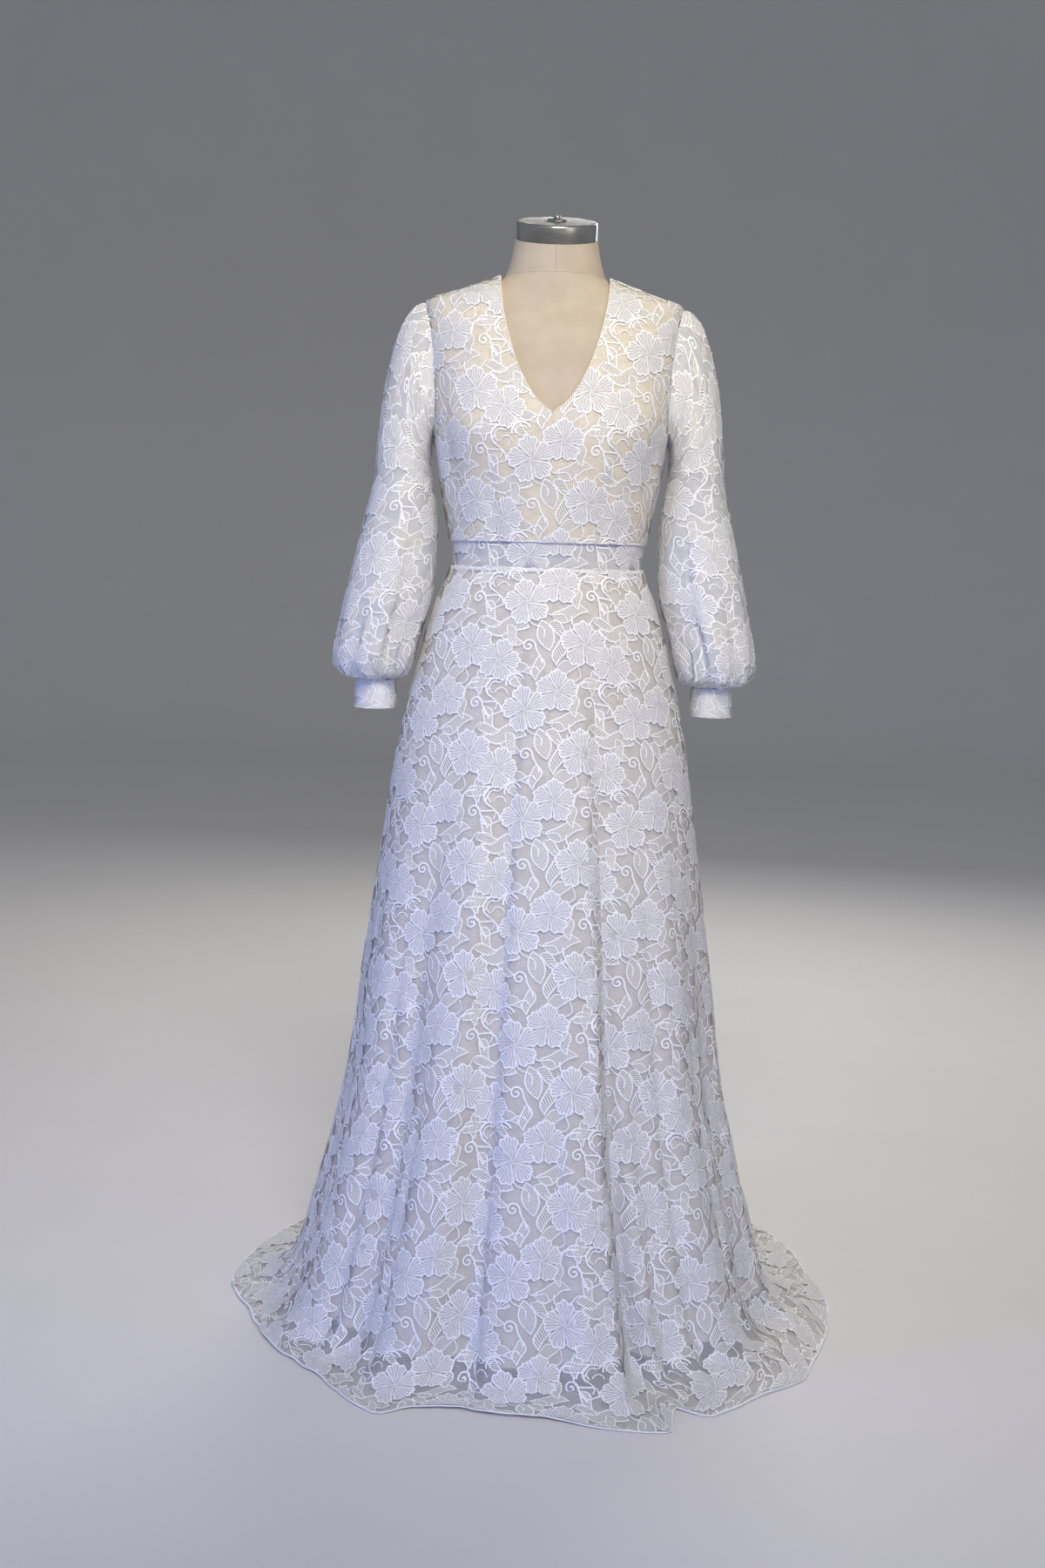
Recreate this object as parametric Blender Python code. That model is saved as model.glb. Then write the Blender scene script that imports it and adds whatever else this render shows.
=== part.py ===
"""A floor-length lace wedding dress on a limbless dress form.

The frame is in metres, +Z up. The dress faces -Y, and +X is the wearer's left.
The origin is on the floor, at the middle of the stand's round foot.

Each piece of cloth is a thin wall. Its middle form is a surface worked out from
a short table of sections, and the wall's two faces are that surface moved along
its own normals. Angles round the body are in degrees: 0 is the front, 90 the
wearer's left side, 180 the back.
"""

import math

import bmesh
import bpy
import numpy as np
from mathutils import Matrix

# Cloth: wall thicknesses, and the gaps that neighbouring pieces keep
LACE_WALL = 0.0014
BODICE_WALL = 0.0018
LINING_WALL = 0.0014
CUFF_WALL = 0.0020
SEAM_SHIFT = 0.0002  # each panel moves this far from its seams
EDGE_GAP = 0.0004  # between pieces that meet edge to edge
ARMHOLE_GAP = 0.0006

# Heights above the floor
WAIST_SEAM = 1.0780
BAND_TOP = 1.1180
BODICE_HEM = 1.1125
SHOULDER_TIP = 1.443
NECK_POINT = 1.482
NECK_LEAN = 1.490  # the form's neck leans forwards from here up
NECK_TOP = 1.534
TORSO_BOTTOM = 0.800
BACK_NECK = 1.462

# The skirt on the floor
FLOOR_BEND = 0.026  # how softly the cloth turns from hanging to lying
LEAST_POOL = 0.02  # the least width of cloth that lies on the floor
FOLD_FADE = 0.045  # a fold has lost half its push this far out on the floor
RIPPLE_PEAK = 0.03  # a ripple is highest this far out
LINING_END = -0.965  # the lining ends this far down the hanging part
LINING_DEPTH = 0.0032  # how far the lining hangs inside the lace
LINING_SEAM = 0.0006  # and how far at the waist, where it is sewn in
LINING_FREE = 0.05  # the share of the way down at which it hangs free

# The dress form and its stand
CAP_RADIUS = 0.0565
CAP_HEIGHT = 0.024
CAP_TILT = math.radians(16)
CAP_AROUND = 28
NECK_FORWARD = -0.007
TORSO_AROUND = 24
TORSO_HEIGHTS = (
    (TORSO_BOTTOM, 0.85, 0.90, 0.95, 1.0, 1.045, 1.065, 1.08, 1.10, 1.14, 1.177, 1.214, 1.251)
    + (1.289, 1.326, 1.363, 1.40, 1.425, SHOULDER_TIP, 1.453, 1.4625, 1.472, NECK_POINT)
    + (1.495, 1.51, NECK_TOP)
)
FOOT_RADIUS = 0.155
FOOT_HEIGHT = 0.012
FOOT_AROUND = 32
HUB_RADIUS = 0.025
HUB_TOP = 0.037
POLE_RADIUS = 0.0125
POLE_AROUND = 16
FLANGE_RADIUS = 0.0375
FLANGE_HEIGHT = 0.008
SHARP_EDGE = math.radians(45)

# Sections of the body under the cloth. `ease` is how far the form lies inside.
BODY_COLUMNS = ("height", "half_width", "front", "back", "squareness", "ease")
BODY = (
    (0.8000, 0.1720, 0.118, 0.138, 2.0, 0.008),
    (0.8900, 0.1840, 0.132, 0.145, 2.0, 0.008),
    (0.9800, 0.1650, 0.121, 0.123, 2.0, 0.009),
    (1.0300, 0.1510, 0.112, 0.108, 2.0, 0.010),
    (1.0780, 0.1352, 0.102, 0.092, 2.0, 0.009),
    (1.1130, 0.1380, 0.106, 0.094, 2.0, 0.007),
    (1.1600, 0.1470, 0.113, 0.098, 2.1, 0.006),
    (1.2200, 0.1580, 0.122, 0.103, 2.2, 0.006),
    (1.2700, 0.1650, 0.124, 0.106, 2.3, 0.006),
    (1.3300, 0.1700, 0.113, 0.106, 2.4, 0.005),
    (1.3800, 0.1740, 0.098, 0.102, 2.3, 0.005),
    (1.4200, 0.1770, 0.083, 0.090, 2.0, 0.005),
    (1.4430, 0.1780, 0.074, 0.079, 1.7, 0.006),
    (1.4625, 0.1270, 0.070, 0.070, 1.7, 0.006),
    (1.4820, 0.0765, 0.067, 0.062, 1.9, 0.005),
    (1.4950, 0.0690, 0.065, 0.056, 2.0, 0.003),
    (1.5100, 0.0640, 0.064, 0.052, 2.0, 0.002),
    (1.5340, 0.0585, 0.063, 0.050, 2.0, 0.001),
)
BUST_HEIGHT = 1.262
BUST_ANGLE = 37.0
BUST_SPREAD = 21.0
BUST_RISE = 0.040
BUST_FULLNESS = 0.011
BUST_SIDEWAYS = 0.4  # share of the fullness that goes to the sides

# Edges of the bodice, from the hem up. `step` counts rows of the panel.
CENTRE_AND_NECK_COLUMNS = ("step", "half_width", "height")
CENTRE_AND_NECK = (
    (0.0, 0.0000, 1.1125),
    (1.0, 0.0000, 1.1500),
    (2.0, 0.0000, 1.1900),
    (3.0, 0.0000, 1.2380),
    (4.0, 0.0000, 1.2870),
    (5.0, 0.0320, 1.3280),
    (6.0, 0.0525, 1.3680),
    (7.0, 0.0650, 1.4100),
    (8.0, 0.0725, 1.4480),
    (9.0, 0.0765, 1.4820),
)
V_TIP_STEP = 4
UNDERARM_STEP = 4
SHOULDER_STEP = 9
SIDE_AND_ARMHOLE_COLUMNS = ("step", "angle", "height")
SIDE_AND_ARMHOLE = (
    (0.0, 90.0, 1.1125),
    (1.0, 90.0, 1.1460),
    (2.0, 90.0, 1.1800),
    (3.0, 90.0, 1.2150),
    (4.0, 90.0, 1.2500),
    (5.0, 77.0, 1.2720),
    (6.0, 72.0, 1.3120),
    (7.0, 71.0, 1.3600),
    (8.0, 76.0, 1.4100),
    (9.0, 90.0, 1.4430),
)
NECK_HALF_WIDTH = 0.0765
BACK_NECK_SHARE = 0.4  # of the back panel's top edge, the rest is shoulder seam
FRONT_STEPS = (0, 1, 2, 3, 4, 4.5, 5, 5.5, 6, 6.7, 7.4, 8, 8.4, 8.65, 8.85, 9)
FRONT_SHARES = np.linspace(0.0, 1.0, 9)
BACK_STEPS = (0, 1.3, 2.6, 4, 4.6, 5.4, 6.2, 7.1, 8, 8.4, 8.7, 9)
BACK_SHARES = np.linspace(0.0, 1.0, 11)
BAND_STEP = 11.25  # angle between two columns of the waist band
TOP_PULL = 3  # how closely the bodice's rows keep level until they near its top edge

# Sections of the hanging skirt, and how far its hem reaches over the floor
SKIRT_COLUMNS = ("height", "half_width", "front", "back")
SKIRT = (
    (0.000, 0.3440, 0.366, 0.430),
    (0.080, 0.3270, 0.350, 0.406),
    (0.142, 0.3140, 0.336, 0.386),
    (0.195, 0.2995, 0.322, 0.367),
    (0.248, 0.2875, 0.308, 0.350),
    (0.354, 0.2660, 0.281, 0.317),
    (0.510, 0.2480, 0.240, 0.268),
    (0.660, 0.2275, 0.202, 0.222),
    (0.790, 0.2105, 0.170, 0.184),
    (0.890, 0.1915, 0.145, 0.156),
    (0.980, 0.1700, 0.128, 0.132),
    (1.030, 0.1540, 0.116, 0.113),
    (1.055, 0.1430, 0.108, 0.101),
    (1.078, 0.1352, 0.102, 0.092),
)
HEM_COLUMNS = ("angle", "reach")
HEM = (
    (-180.0, 0.620),
    (-165.0, 0.605),
    (-150.0, 0.560),
    (-138.0, 0.512),
    (-127.0, 0.481),
    (-107.0, 0.449),
    (-91.0, 0.438),
    (-79.0, 0.410),
    (-62.0, 0.400),
    (-46.0, 0.412),
    (-34.0, 0.438),
    (-25.5, 0.460),
    (-22.0, 0.424),
    (-8.0, 0.410),
    (3.0, 0.412),
    (14.0, 0.455),
    (23.5, 0.490),
    (28.5, 0.424),
    (32.0, 0.470),
    (46.0, 0.452),
    (55.0, 0.466),
    (63.0, 0.452),
    (80.0, 0.444),
    (102.0, 0.449),
    (115.0, 0.485),
    (124.0, 0.499),
    (133.0, 0.540),
    (150.0, 0.585),
    (165.0, 0.612),
    (180.0, 0.620),
)

# The skirt's folds. Each runs down to `angle` at the floor and is `swing` degrees
# further round at the waist. `push` is outwards for a roll, inwards for a valley.
FOLD_COLUMNS = ("angle", "swing", "spread", "push", "start")
FOLDS = (
    (-172.0, 4.0, 7.0, 0.020, 0.85),
    (-157.0, 3.0, 5.0, -0.016, 0.90),
    (-140.0, 5.0, 9.0, 0.022, 0.80),
    (-121.0, 5.0, 5.5, -0.016, 0.70),
    (-101.0, 3.0, 8.0, 0.013, 0.75),
    (-79.0, 2.0, 6.0, -0.013, 0.70),
    (-60.0, 6.0, 8.5, 0.014, 0.85),
    (-43.0, 5.0, 4.5, -0.015, 0.80),
    (-29.0, 6.0, 7.0, 0.015, 0.92),
    (-15.5, 2.0, 4.0, -0.015, 0.95),
    (-3.0, 0.0, 5.0, 0.005, 0.60),
    (13.5, -5.0, 9.0, 0.017, 0.95),
    (25.0, -5.0, 3.5, -0.017, 0.93),
    (29.0, -4.0, 2.6, 0.008, 0.42),
    (33.5, -6.0, 3.0, -0.012, 0.45),
    (50.0, -6.0, 9.0, 0.019, 0.85),
    (70.0, -4.0, 5.0, -0.013, 0.70),
    (88.0, -2.0, 7.0, 0.011, 0.75),
    (107.0, -3.0, 5.5, -0.015, 0.75),
    (125.0, -5.0, 9.0, 0.022, 0.80),
    (144.0, -3.0, 5.0, -0.016, 0.90),
    (161.0, -3.0, 8.0, 0.020, 0.80),
    (176.0, 0.0, 5.0, -0.012, 0.85),
)
FOLD_GROWTH = 1.25  # a fold deepens with this power of its way down
RIPPLE = 0.55  # share of a roll's push that stands up as a ripple on the floor
SKIRT_LEVELS = (
    (-2.0, -1.78, -1.5, -1.24, -1.08, -1.0, -0.96, -0.92, -0.86, -0.78, -0.68)
    + (-0.56, -0.44, -0.32, -0.2, -0.11, -0.05, 0.0)
)
LINING_LEVELS = (LINING_END, -0.92, -0.86, -0.78, -0.68, -0.56, -0.32, -0.11, -0.05, -0.002)
SKIRT_STEP = 6.0  # widest angle between two columns

# Sections of the sleeve below its head, and how deep its gathers are there
SLEEVE_COLUMNS = ("height", "centre_x", "centre_y", "half_width", "half_depth", "gather")
SLEEVE = (
    (1.2000, 0.2070, 0.000, 0.0395, 0.055, 0.0000),
    (1.1500, 0.2090, -0.002, 0.0495, 0.058, 0.0000),
    (1.0800, 0.2165, -0.005, 0.0585, 0.062, 0.0000),
    (1.0300, 0.2243, -0.008, 0.0612, 0.066, 0.0008),
    (0.9850, 0.2350, -0.010, 0.0590, 0.069, 0.0018),
    (0.9550, 0.2412, -0.012, 0.0572, 0.070, 0.0026),
    (0.9350, 0.2432, -0.013, 0.0532, 0.066, 0.0032),
    (0.9220, 0.2412, -0.014, 0.0460, 0.057, 0.0034),
    (0.9155, 0.2400, -0.014, 0.0350, 0.043, 0.0024),
    (0.9150, 0.2400, -0.014, 0.0275, 0.035, 0.0012),
)
SLEEVE_HEAD_STEPS = (0.0, 0.12, 0.26, 0.42, 0.6, 0.8)
HEAD_SWELL = 0.55  # length of the head's leaving arrow, as a share of the way down
HEAD_SPREAD = 0.25  # how far the head spreads to the front and the back
HEAD_DROP = 1.2  # how steeply the head leaves the underarm
HEAD_LIFT = 1.35  # how much less steeply it leaves the shoulder
SLEEVE_AROUND = 36
GATHERS = 9
GATHER_DRIFT = 0.7  # how unevenly the gathers are spaced
CUFF_TOP = 0.9144
CUFF_BOTTOM = 0.8730
CUFF_FLARE = 1.05
CUFF_AROUND = 24
CUFF_DROPS = (0.0, 0.5, 1.0)

SIDES = (("right", -1.0), ("left", 1.0))

# Finishes: the colour, roughness and metallic value of each material
FINISHES = {
    "bodice_lace": ((0.86, 0.80, 0.70), 0.75, 0.0),
    "lace": ((0.84, 0.83, 0.80), 0.78, 0.0),
    "lining": ((0.72, 0.60, 0.48), 0.55, 0.0),
    "cuff_lace": ((0.88, 0.88, 0.86), 0.75, 0.0),
    "form_cloth": ((0.60, 0.52, 0.42), 0.85, 0.0),
    "chrome": ((0.80, 0.80, 0.80), 0.12, 1.0),
    "stand_metal": ((0.25, 0.25, 0.26), 0.35, 0.0),
}


def clear_scene():
    """Remove every object that the new file starts with."""
    for old in list(bpy.data.objects):
        bpy.data.objects.remove(old, do_unlink=True)


def column(table, names, name):
    """One named column of a table, as an array."""
    return np.array([row[names.index(name)] for row in table], float)


def through(keys, values, at):
    """A smooth curve through points that never swings past them.

    Each point's slope is the harmonic mean of the slopes on its two sides, or
    zero where they differ in sign, and cubic arcs join the points.
    """
    keys = np.asarray(keys, float)
    values = np.asarray(values, float)
    at = np.clip(np.asarray(at, float), keys[0], keys[-1])
    span = np.diff(keys)
    slope = np.diff(values) / span
    before, after = slope[:-1], slope[1:]
    total = np.where(before * after > 0, before + after, 1.0)
    inner = np.where(before * after > 0, 2 * before * after / total, 0.0)
    tangent = np.concatenate([slope[:1], inner, slope[-1:]])
    i = np.clip(np.searchsorted(keys, at, side="right") - 1, 0, len(span) - 1)
    t = (at - keys[i]) / span[i]
    rise = values[i + 1] - values[i]
    start = tangent[i] * span[i]
    end = tangent[i + 1] * span[i]
    return (
        values[i]
        + start * t
        + (3 * rise - 2 * start - end) * t**2
        + (start + end - 2 * rise) * t**3
    )


def read(table, names, name, at):
    """A named column read at any value of the table's first column."""
    return through(column(table, names, names[0]), column(table, names, name), at)


def power(value, exponent):
    """A power that keeps the sign of the value."""
    return np.sign(value) * np.abs(value) ** exponent


def body(angle, height):
    """A point on the body: a rounded section at each height, with the bust added."""
    turn = np.radians(angle)
    width = read(BODY, BODY_COLUMNS, "half_width", height)
    front = read(BODY, BODY_COLUMNS, "front", height)
    back = read(BODY, BODY_COLUMNS, "back", height)
    exponent = 2 / read(BODY, BODY_COLUMNS, "squareness", height)
    depth = np.where(np.cos(turn) > 0, front, back)
    rise = np.exp(-(((height - BUST_HEIGHT) / BUST_RISE) ** 2))
    spread = np.exp(-(((np.abs(angle) - BUST_ANGLE) / BUST_SPREAD) ** 2))
    bust = BUST_FULLNESS * rise * spread
    x = (width + BUST_SIDEWAYS * bust) * power(np.sin(turn), exponent)
    y = -(depth + bust) * power(np.cos(turn), exponent)
    return np.stack(np.broadcast_arrays(x, y, height), axis=-1)


def angle_at(half_width, height):
    """The angle at which the body's section reaches a distance from its middle."""
    width = read(BODY, BODY_COLUMNS, "half_width", height)
    squareness = read(BODY, BODY_COLUMNS, "squareness", height)
    share = np.clip(np.asarray(half_width) / width, 0.0, 1.0) ** (squareness / 2)
    return np.degrees(np.arcsin(np.clip(share, 0.0, 1.0)))


def folds(angle, level):
    """How far the skirt's folds push it outwards, from rolls and valleys together."""
    middle, swing, spread, push, start = (column(FOLDS, FOLD_COLUMNS, name) for name in FOLD_COLUMNS)
    height = WAIST_SEAM * (1 + np.clip(level, -1.0, 0.0))[..., None]
    centre = middle + swing * height / WAIST_SEAM
    away = (np.asarray(angle)[..., None] - centre + 180.0) % 360.0 - 180.0
    down = np.clip((start - height) / start, 0.0, 1.0)
    return np.sum(push * down**FOLD_GROWTH * np.exp(-((away / spread) ** 2)), axis=-1)


def soft_positive(value):
    """The value where it is above zero and almost nothing below, turning softly."""
    return FLOOR_BEND * np.logaddexp(0.0, np.asarray(value) / FLOOR_BEND)


def skirt(angle, level):
    """A point on the skirt's inner face.

    Level 0 is the waist seam, -1 is where the cloth meets the floor, and -2 is
    the hem. The path hangs in the sections of the table, bends through a soft
    corner and lies flat out to the hem's reach.
    """
    angle, level = np.broadcast_arrays(np.asarray(angle, float), np.asarray(level, float))
    turn = np.radians(angle)
    hanging = np.clip(level, -1.0, 0.0)
    height = WAIST_SEAM * (1 + hanging)
    width = read(SKIRT, SKIRT_COLUMNS, "half_width", height)
    front = read(SKIRT, SKIRT_COLUMNS, "front", height)
    back = read(SKIRT, SKIRT_COLUMNS, "back", height)
    depth = np.where(np.cos(turn) > 0, front, back)
    stand_x = width * np.sin(turn)
    stand_y = -depth * np.cos(turn)
    radius = np.hypot(stand_x, stand_y)
    out_x = stand_x / radius
    out_y = stand_y / radius
    reach = np.interp(angle, column(HEM, HEM_COLUMNS, "angle"), column(HEM, HEM_COLUMNS, "reach"))
    pool = np.maximum(reach - radius, LEAST_POOL)
    past = np.where(level > -1.0, WAIST_SEAM * (-1 - level), pool * (-1 - level))
    lying = soft_positive(past)
    fold = folds(angle, level)
    out = lying + fold / (1.0 + (lying / FOLD_FADE) ** 2)
    far = lying / RIPPLE_PEAK
    ripple = RIPPLE * np.maximum(fold, 0.0) * far * np.exp(1 - far)
    inwards = 1 - np.clip(-1 - level, 0.0, 1.0)
    x = stand_x + out_x * out
    y = stand_y + out_y * out
    z = soft_positive(-past) + ripple * inwards
    return np.stack([x, y, z], axis=-1)


def sleeve_ring(height, around):
    """A level section of the sleeve, an oval whose radius the gathers wave."""
    turn = np.radians(around)
    wave = np.cos(GATHERS * turn + GATHER_DRIFT * np.sin(2 * turn))
    gather = read(SLEEVE[::-1], SLEEVE_COLUMNS, "gather", height) * wave
    half_width = read(SLEEVE[::-1], SLEEVE_COLUMNS, "half_width", height) + gather
    half_depth = read(SLEEVE[::-1], SLEEVE_COLUMNS, "half_depth", height) + gather
    x = read(SLEEVE[::-1], SLEEVE_COLUMNS, "centre_x", height) + half_width * np.cos(turn)
    y = read(SLEEVE[::-1], SLEEVE_COLUMNS, "centre_y", height) - half_depth * np.sin(turn)
    return np.stack(np.broadcast_arrays(x, y, height), axis=-1)


def armhole(around):
    """The armhole of the wearer's left side, from the shoulder tip forwards round."""
    turned = np.asarray(around, float) % 360.0
    forward = turned <= 180.0
    share = np.where(forward, turned, 360.0 - turned) / 180.0
    step = SHOULDER_STEP + (UNDERARM_STEP - SHOULDER_STEP) * share
    angle = read(SIDE_AND_ARMHOLE, SIDE_AND_ARMHOLE_COLUMNS, "angle", step)
    height = read(SIDE_AND_ARMHOLE, SIDE_AND_ARMHOLE_COLUMNS, "height", step)
    angle = np.where(forward, angle, 180.0 - angle)
    return body(angle, height) + normals(body, angle, height) * (BODICE_WALL + ARMHOLE_GAP)


def sleeve(around, fall):
    """A point on the sleeve's outer face.

    From 0 to 1 is the head: a cubic arc for each point of the armhole, leaving
    it sideways and coming down into the first level section. Past 1, each whole
    number is a row of the table of sections.
    """
    around, fall = np.broadcast_arrays(np.asarray(around, float), np.asarray(fall, float))
    turn = np.radians(around)
    start = armhole(around)
    end = sleeve_ring(SLEEVE[0][0], around)
    chord = np.linalg.norm(end - start, axis=-1)[..., None]
    spread = -HEAD_SPREAD * np.sin(turn)
    climb = HEAD_LIFT * (1 + np.cos(turn)) / 2 - HEAD_DROP
    leave = np.stack([np.ones_like(turn), spread, climb], axis=-1)
    leave = leave / np.linalg.norm(leave, axis=-1)[..., None] * chord * HEAD_SWELL
    arrive = np.zeros_like(end)
    arrive[..., 2] = -chord[..., 0]
    t = np.clip(fall, 0.0, 1.0)[..., None]
    head = (
        (2 * t**3 - 3 * t**2 + 1) * start
        + (t**3 - 2 * t**2 + t) * leave
        + (3 * t**2 - 2 * t**3) * end
        + (t**3 - t**2) * arrive
    )
    rows = np.arange(1, len(SLEEVE) + 1)
    height = through(rows, column(SLEEVE, SLEEVE_COLUMNS, "height"), fall)
    lower = sleeve_ring(height, around)
    return np.where(fall[..., None] < 1.0, head, lower)


def normals(surface, across, up):
    """Unit normals of a surface, from the cross product of its two directions."""
    step = 1e-3
    sideways = surface(across + step, up) - surface(across - step, up)
    upwards = surface(across, up + step) - surface(across, up - step)
    normal = np.cross(sideways, upwards)
    return normal / np.linalg.norm(normal, axis=-1)[..., None]


def grid_quads(rows, columns, closed=False):
    """Faces of a grid of points, row by row, joined round where it is a tube."""
    row = np.arange(rows - 1)[:, None]
    col = np.arange(columns if closed else columns - 1)[None, :]
    after = (col + 1) % columns
    corners = (row * columns + col, row * columns + after)
    above = ((row + 1) * columns + after, (row + 1) * columns + col)
    return np.stack(np.broadcast_arrays(*corners, *above), axis=-1).reshape(-1, 4)


def material(name):
    """A Principled material with one of the finishes."""
    colour, roughness, metallic = FINISHES[name]
    made = bpy.data.materials.new(name)
    made.use_nodes = True
    shader = made.node_tree.nodes["Principled BSDF"]
    shader.inputs["Base Color"].default_value = (*colour, 1.0)
    shader.inputs["Roughness"].default_value = roughness
    shader.inputs["Metallic"].default_value = metallic
    return made


def add_object(name, points, faces, finish):
    """A mesh object shaded smooth, with its sharp edges kept."""
    mesh = bpy.data.meshes.new(name)
    mesh.from_pydata(np.asarray(points).tolist(), [], [list(map(int, face)) for face in faces])
    mesh.materials.append(finish)
    mesh.validate()
    mesh.shade_smooth()
    mesh.set_sharp_from_angle(angle=SHARP_EDGE)
    made = bpy.data.objects.new(name, mesh)
    bpy.context.collection.objects.link(made)
    return made


def merged(points, directions, quads):
    """The same sheet with points that coincide made one."""
    keys = np.round(points, 6)
    _, first, index = np.unique(keys, axis=0, return_index=True, return_inverse=True)
    index = index.reshape(-1)
    return points[first], directions[first], index[quads]


def cloth_wall(name, points, directions, quads, inner, outer, finish, shift=(0, 0, 0)):
    """A closed wall of cloth between two offsets of one sheet.

    The outer face keeps the sheet's winding, the inner face is turned round, and
    a strip of faces closes every open edge of the sheet.
    """
    count = len(points)
    both = np.concatenate([points + directions * outer, points + directions * inner])
    edges = np.concatenate([quads[:, [i, (i + 1) % 4]] for i in range(4)])
    keys = edges[:, 0] * count + edges[:, 1]
    opposite = edges[:, 1] * count + edges[:, 0]
    rim = edges[~np.isin(keys, opposite)]
    strip = np.stack([rim[:, 1], rim[:, 0], rim[:, 0] + count, rim[:, 1] + count], axis=1)
    faces = np.concatenate([quads, quads[:, ::-1] + count, strip])
    return add_object(name, both + np.asarray(shift, float), faces, finish)


def cloth_panel(name, surface, across, up, inner, outer, finish, shift=(0, 0, 0), closed=False):
    """A wall over a rectangle of a surface's two parameters."""
    across, up = np.meshgrid(np.asarray(across, float), np.asarray(up, float))
    points = surface(across, up).reshape(-1, 3)
    directions = normals(surface, across, up).reshape(-1, 3)
    quads = grid_quads(*across.shape, closed)
    return cloth_wall(name, points, directions, quads, inner, outer, finish, shift)


def bodice_edges(steps, back):
    """Angle and height along a bodice panel's centre or neck edge and its side edge."""
    side = read(SIDE_AND_ARMHOLE, SIDE_AND_ARMHOLE_COLUMNS, "angle", steps)
    side_height = read(SIDE_AND_ARMHOLE, SIDE_AND_ARMHOLE_COLUMNS, "height", steps)
    if back:
        centre = np.zeros_like(steps)
        centre_height = BODICE_HEM + (BACK_NECK - BODICE_HEM) * steps / steps[-1]
    else:
        neck_edge = CENTRE_AND_NECK[V_TIP_STEP:]
        neck = read(neck_edge, CENTRE_AND_NECK_COLUMNS, "half_width", steps)
        centre_height = read(CENTRE_AND_NECK, CENTRE_AND_NECK_COLUMNS, "height", steps)
        centre = angle_at(neck, centre_height)
    return centre, centre_height, side, side_height


def bodice_top(share, back):
    """Angle and height along a bodice panel's top edge, from neck to shoulder tip."""
    if not back:
        height = NECK_POINT + (SHOULDER_TIP - NECK_POINT) * share
        return np.full_like(share, 90.0), height
    turn = np.clip(share / BACK_NECK_SHARE, 0.0, 1.0) * math.pi / 2
    neck_height = BACK_NECK + (NECK_POINT - BACK_NECK) * (1 - np.cos(turn))
    neck_angle = angle_at(NECK_HALF_WIDTH * np.sin(turn), neck_height)
    past = np.clip((share - BACK_NECK_SHARE) / (1 - BACK_NECK_SHARE), 0.0, 1.0)
    height = neck_height + (SHOULDER_TIP - NECK_POINT) * past
    return neck_angle, height


def bodice_sheet(sign, back):
    """Angles and heights of half a bodice, blended from its four edges.

    The blend is the average of the two pairs of edges drawn straight across,
    less the straight patch of the four corners.
    """
    steps = np.array(BACK_STEPS if back else FRONT_STEPS, float)
    share = BACK_SHARES if back else FRONT_SHARES
    centre, centre_height, side, side_height = bodice_edges(steps, back)
    top, top_height = bodice_top(share, back)
    climb = (steps[:, None] / steps[-1]) ** TOP_PULL
    u = share[None, :]
    pairs = []
    for left, right, upper in ((centre, side, top), (centre_height, side_height, top_height)):
        lower = left[0] + (right[0] - left[0]) * share
        across = left[:, None] * (1 - u) + right[:, None] * u
        upwards = lower[None, :] * (1 - climb) + upper[None, :] * climb
        bottom = left[0] * (1 - u) + right[0] * u
        ridge = upper[0] * (1 - u) + upper[-1] * u
        pairs.append(across + upwards - bottom * (1 - climb) - ridge * climb)
    angle, height = pairs
    angle = 180.0 - angle if back else angle
    points = body(angle, height)
    directions = normals(body, angle, height)
    mirror = np.array([sign, 1.0, 1.0])
    quads = grid_quads(*angle.shape)
    if (sign < 0) != back:
        quads = quads[:, ::-1]
    return points.reshape(-1, 3) * mirror, directions.reshape(-1, 3) * mirror, quads


def make_bodice(finish):
    """The bodice: one front on the fold and two backs."""
    halves = [bodice_sheet(sign, False) for _, sign in SIDES]
    count = len(halves[0][0])
    points = np.concatenate([half[0] for half in halves])
    directions = np.concatenate([half[1] for half in halves])
    quads = np.concatenate([halves[0][2], halves[1][2] + count])
    points, directions, quads = merged(points, directions, quads)
    shift = (0.0, -SEAM_SHIFT, 0.0)
    cloth_wall("bodice_front", points, directions, quads, 0.0, BODICE_WALL, finish, shift)
    for side, sign in SIDES:
        shift = (sign * SEAM_SHIFT, SEAM_SHIFT, 0.0)
        sheet = bodice_sheet(sign, True)
        cloth_wall(f"bodice_back_{side}", *sheet, 0.0, BODICE_WALL, finish, shift)


def panel_names(stem):
    """The three panels round the body: name, first angle, last angle and seam shift."""
    return (
        (f"{stem}_front", -90.0, 90.0, (0.0, -SEAM_SHIFT, 0.0)),
        (f"{stem}_back_left", 90.0, 180.0, (SEAM_SHIFT, SEAM_SHIFT, 0.0)),
        (f"{stem}_back_right", -180.0, -90.0, (-SEAM_SHIFT, SEAM_SHIFT, 0.0)),
    )


def make_band(finish):
    """The strip of unlined lace at the waist, tucked up behind the bodice's hem."""
    outer = -ARMHOLE_GAP
    heights = (WAIST_SEAM + EDGE_GAP, (WAIST_SEAM + BAND_TOP) / 2, BAND_TOP)
    for name, first, last, shift in panel_names("waist_band"):
        angles = np.linspace(first, last, round((last - first) / BAND_STEP) + 1)
        cloth_panel(name, body, angles, heights, outer - LACE_WALL, outer, finish, shift)


def skirt_angles(first, last):
    """Columns of a skirt panel: every corner of the hem, and steps between them."""
    corners = column(HEM, HEM_COLUMNS, "angle")
    corners = corners[(corners > first + 1) & (corners < last - 1)]
    corners = np.concatenate([[first], corners, [last]])
    runs = []
    for start, end in zip(corners[:-1], corners[1:]):
        parts = math.ceil((end - start) / SKIRT_STEP)
        runs.append(np.linspace(start, end, parts + 1)[:-1])
    return np.concatenate([*runs, [last]])


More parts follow.
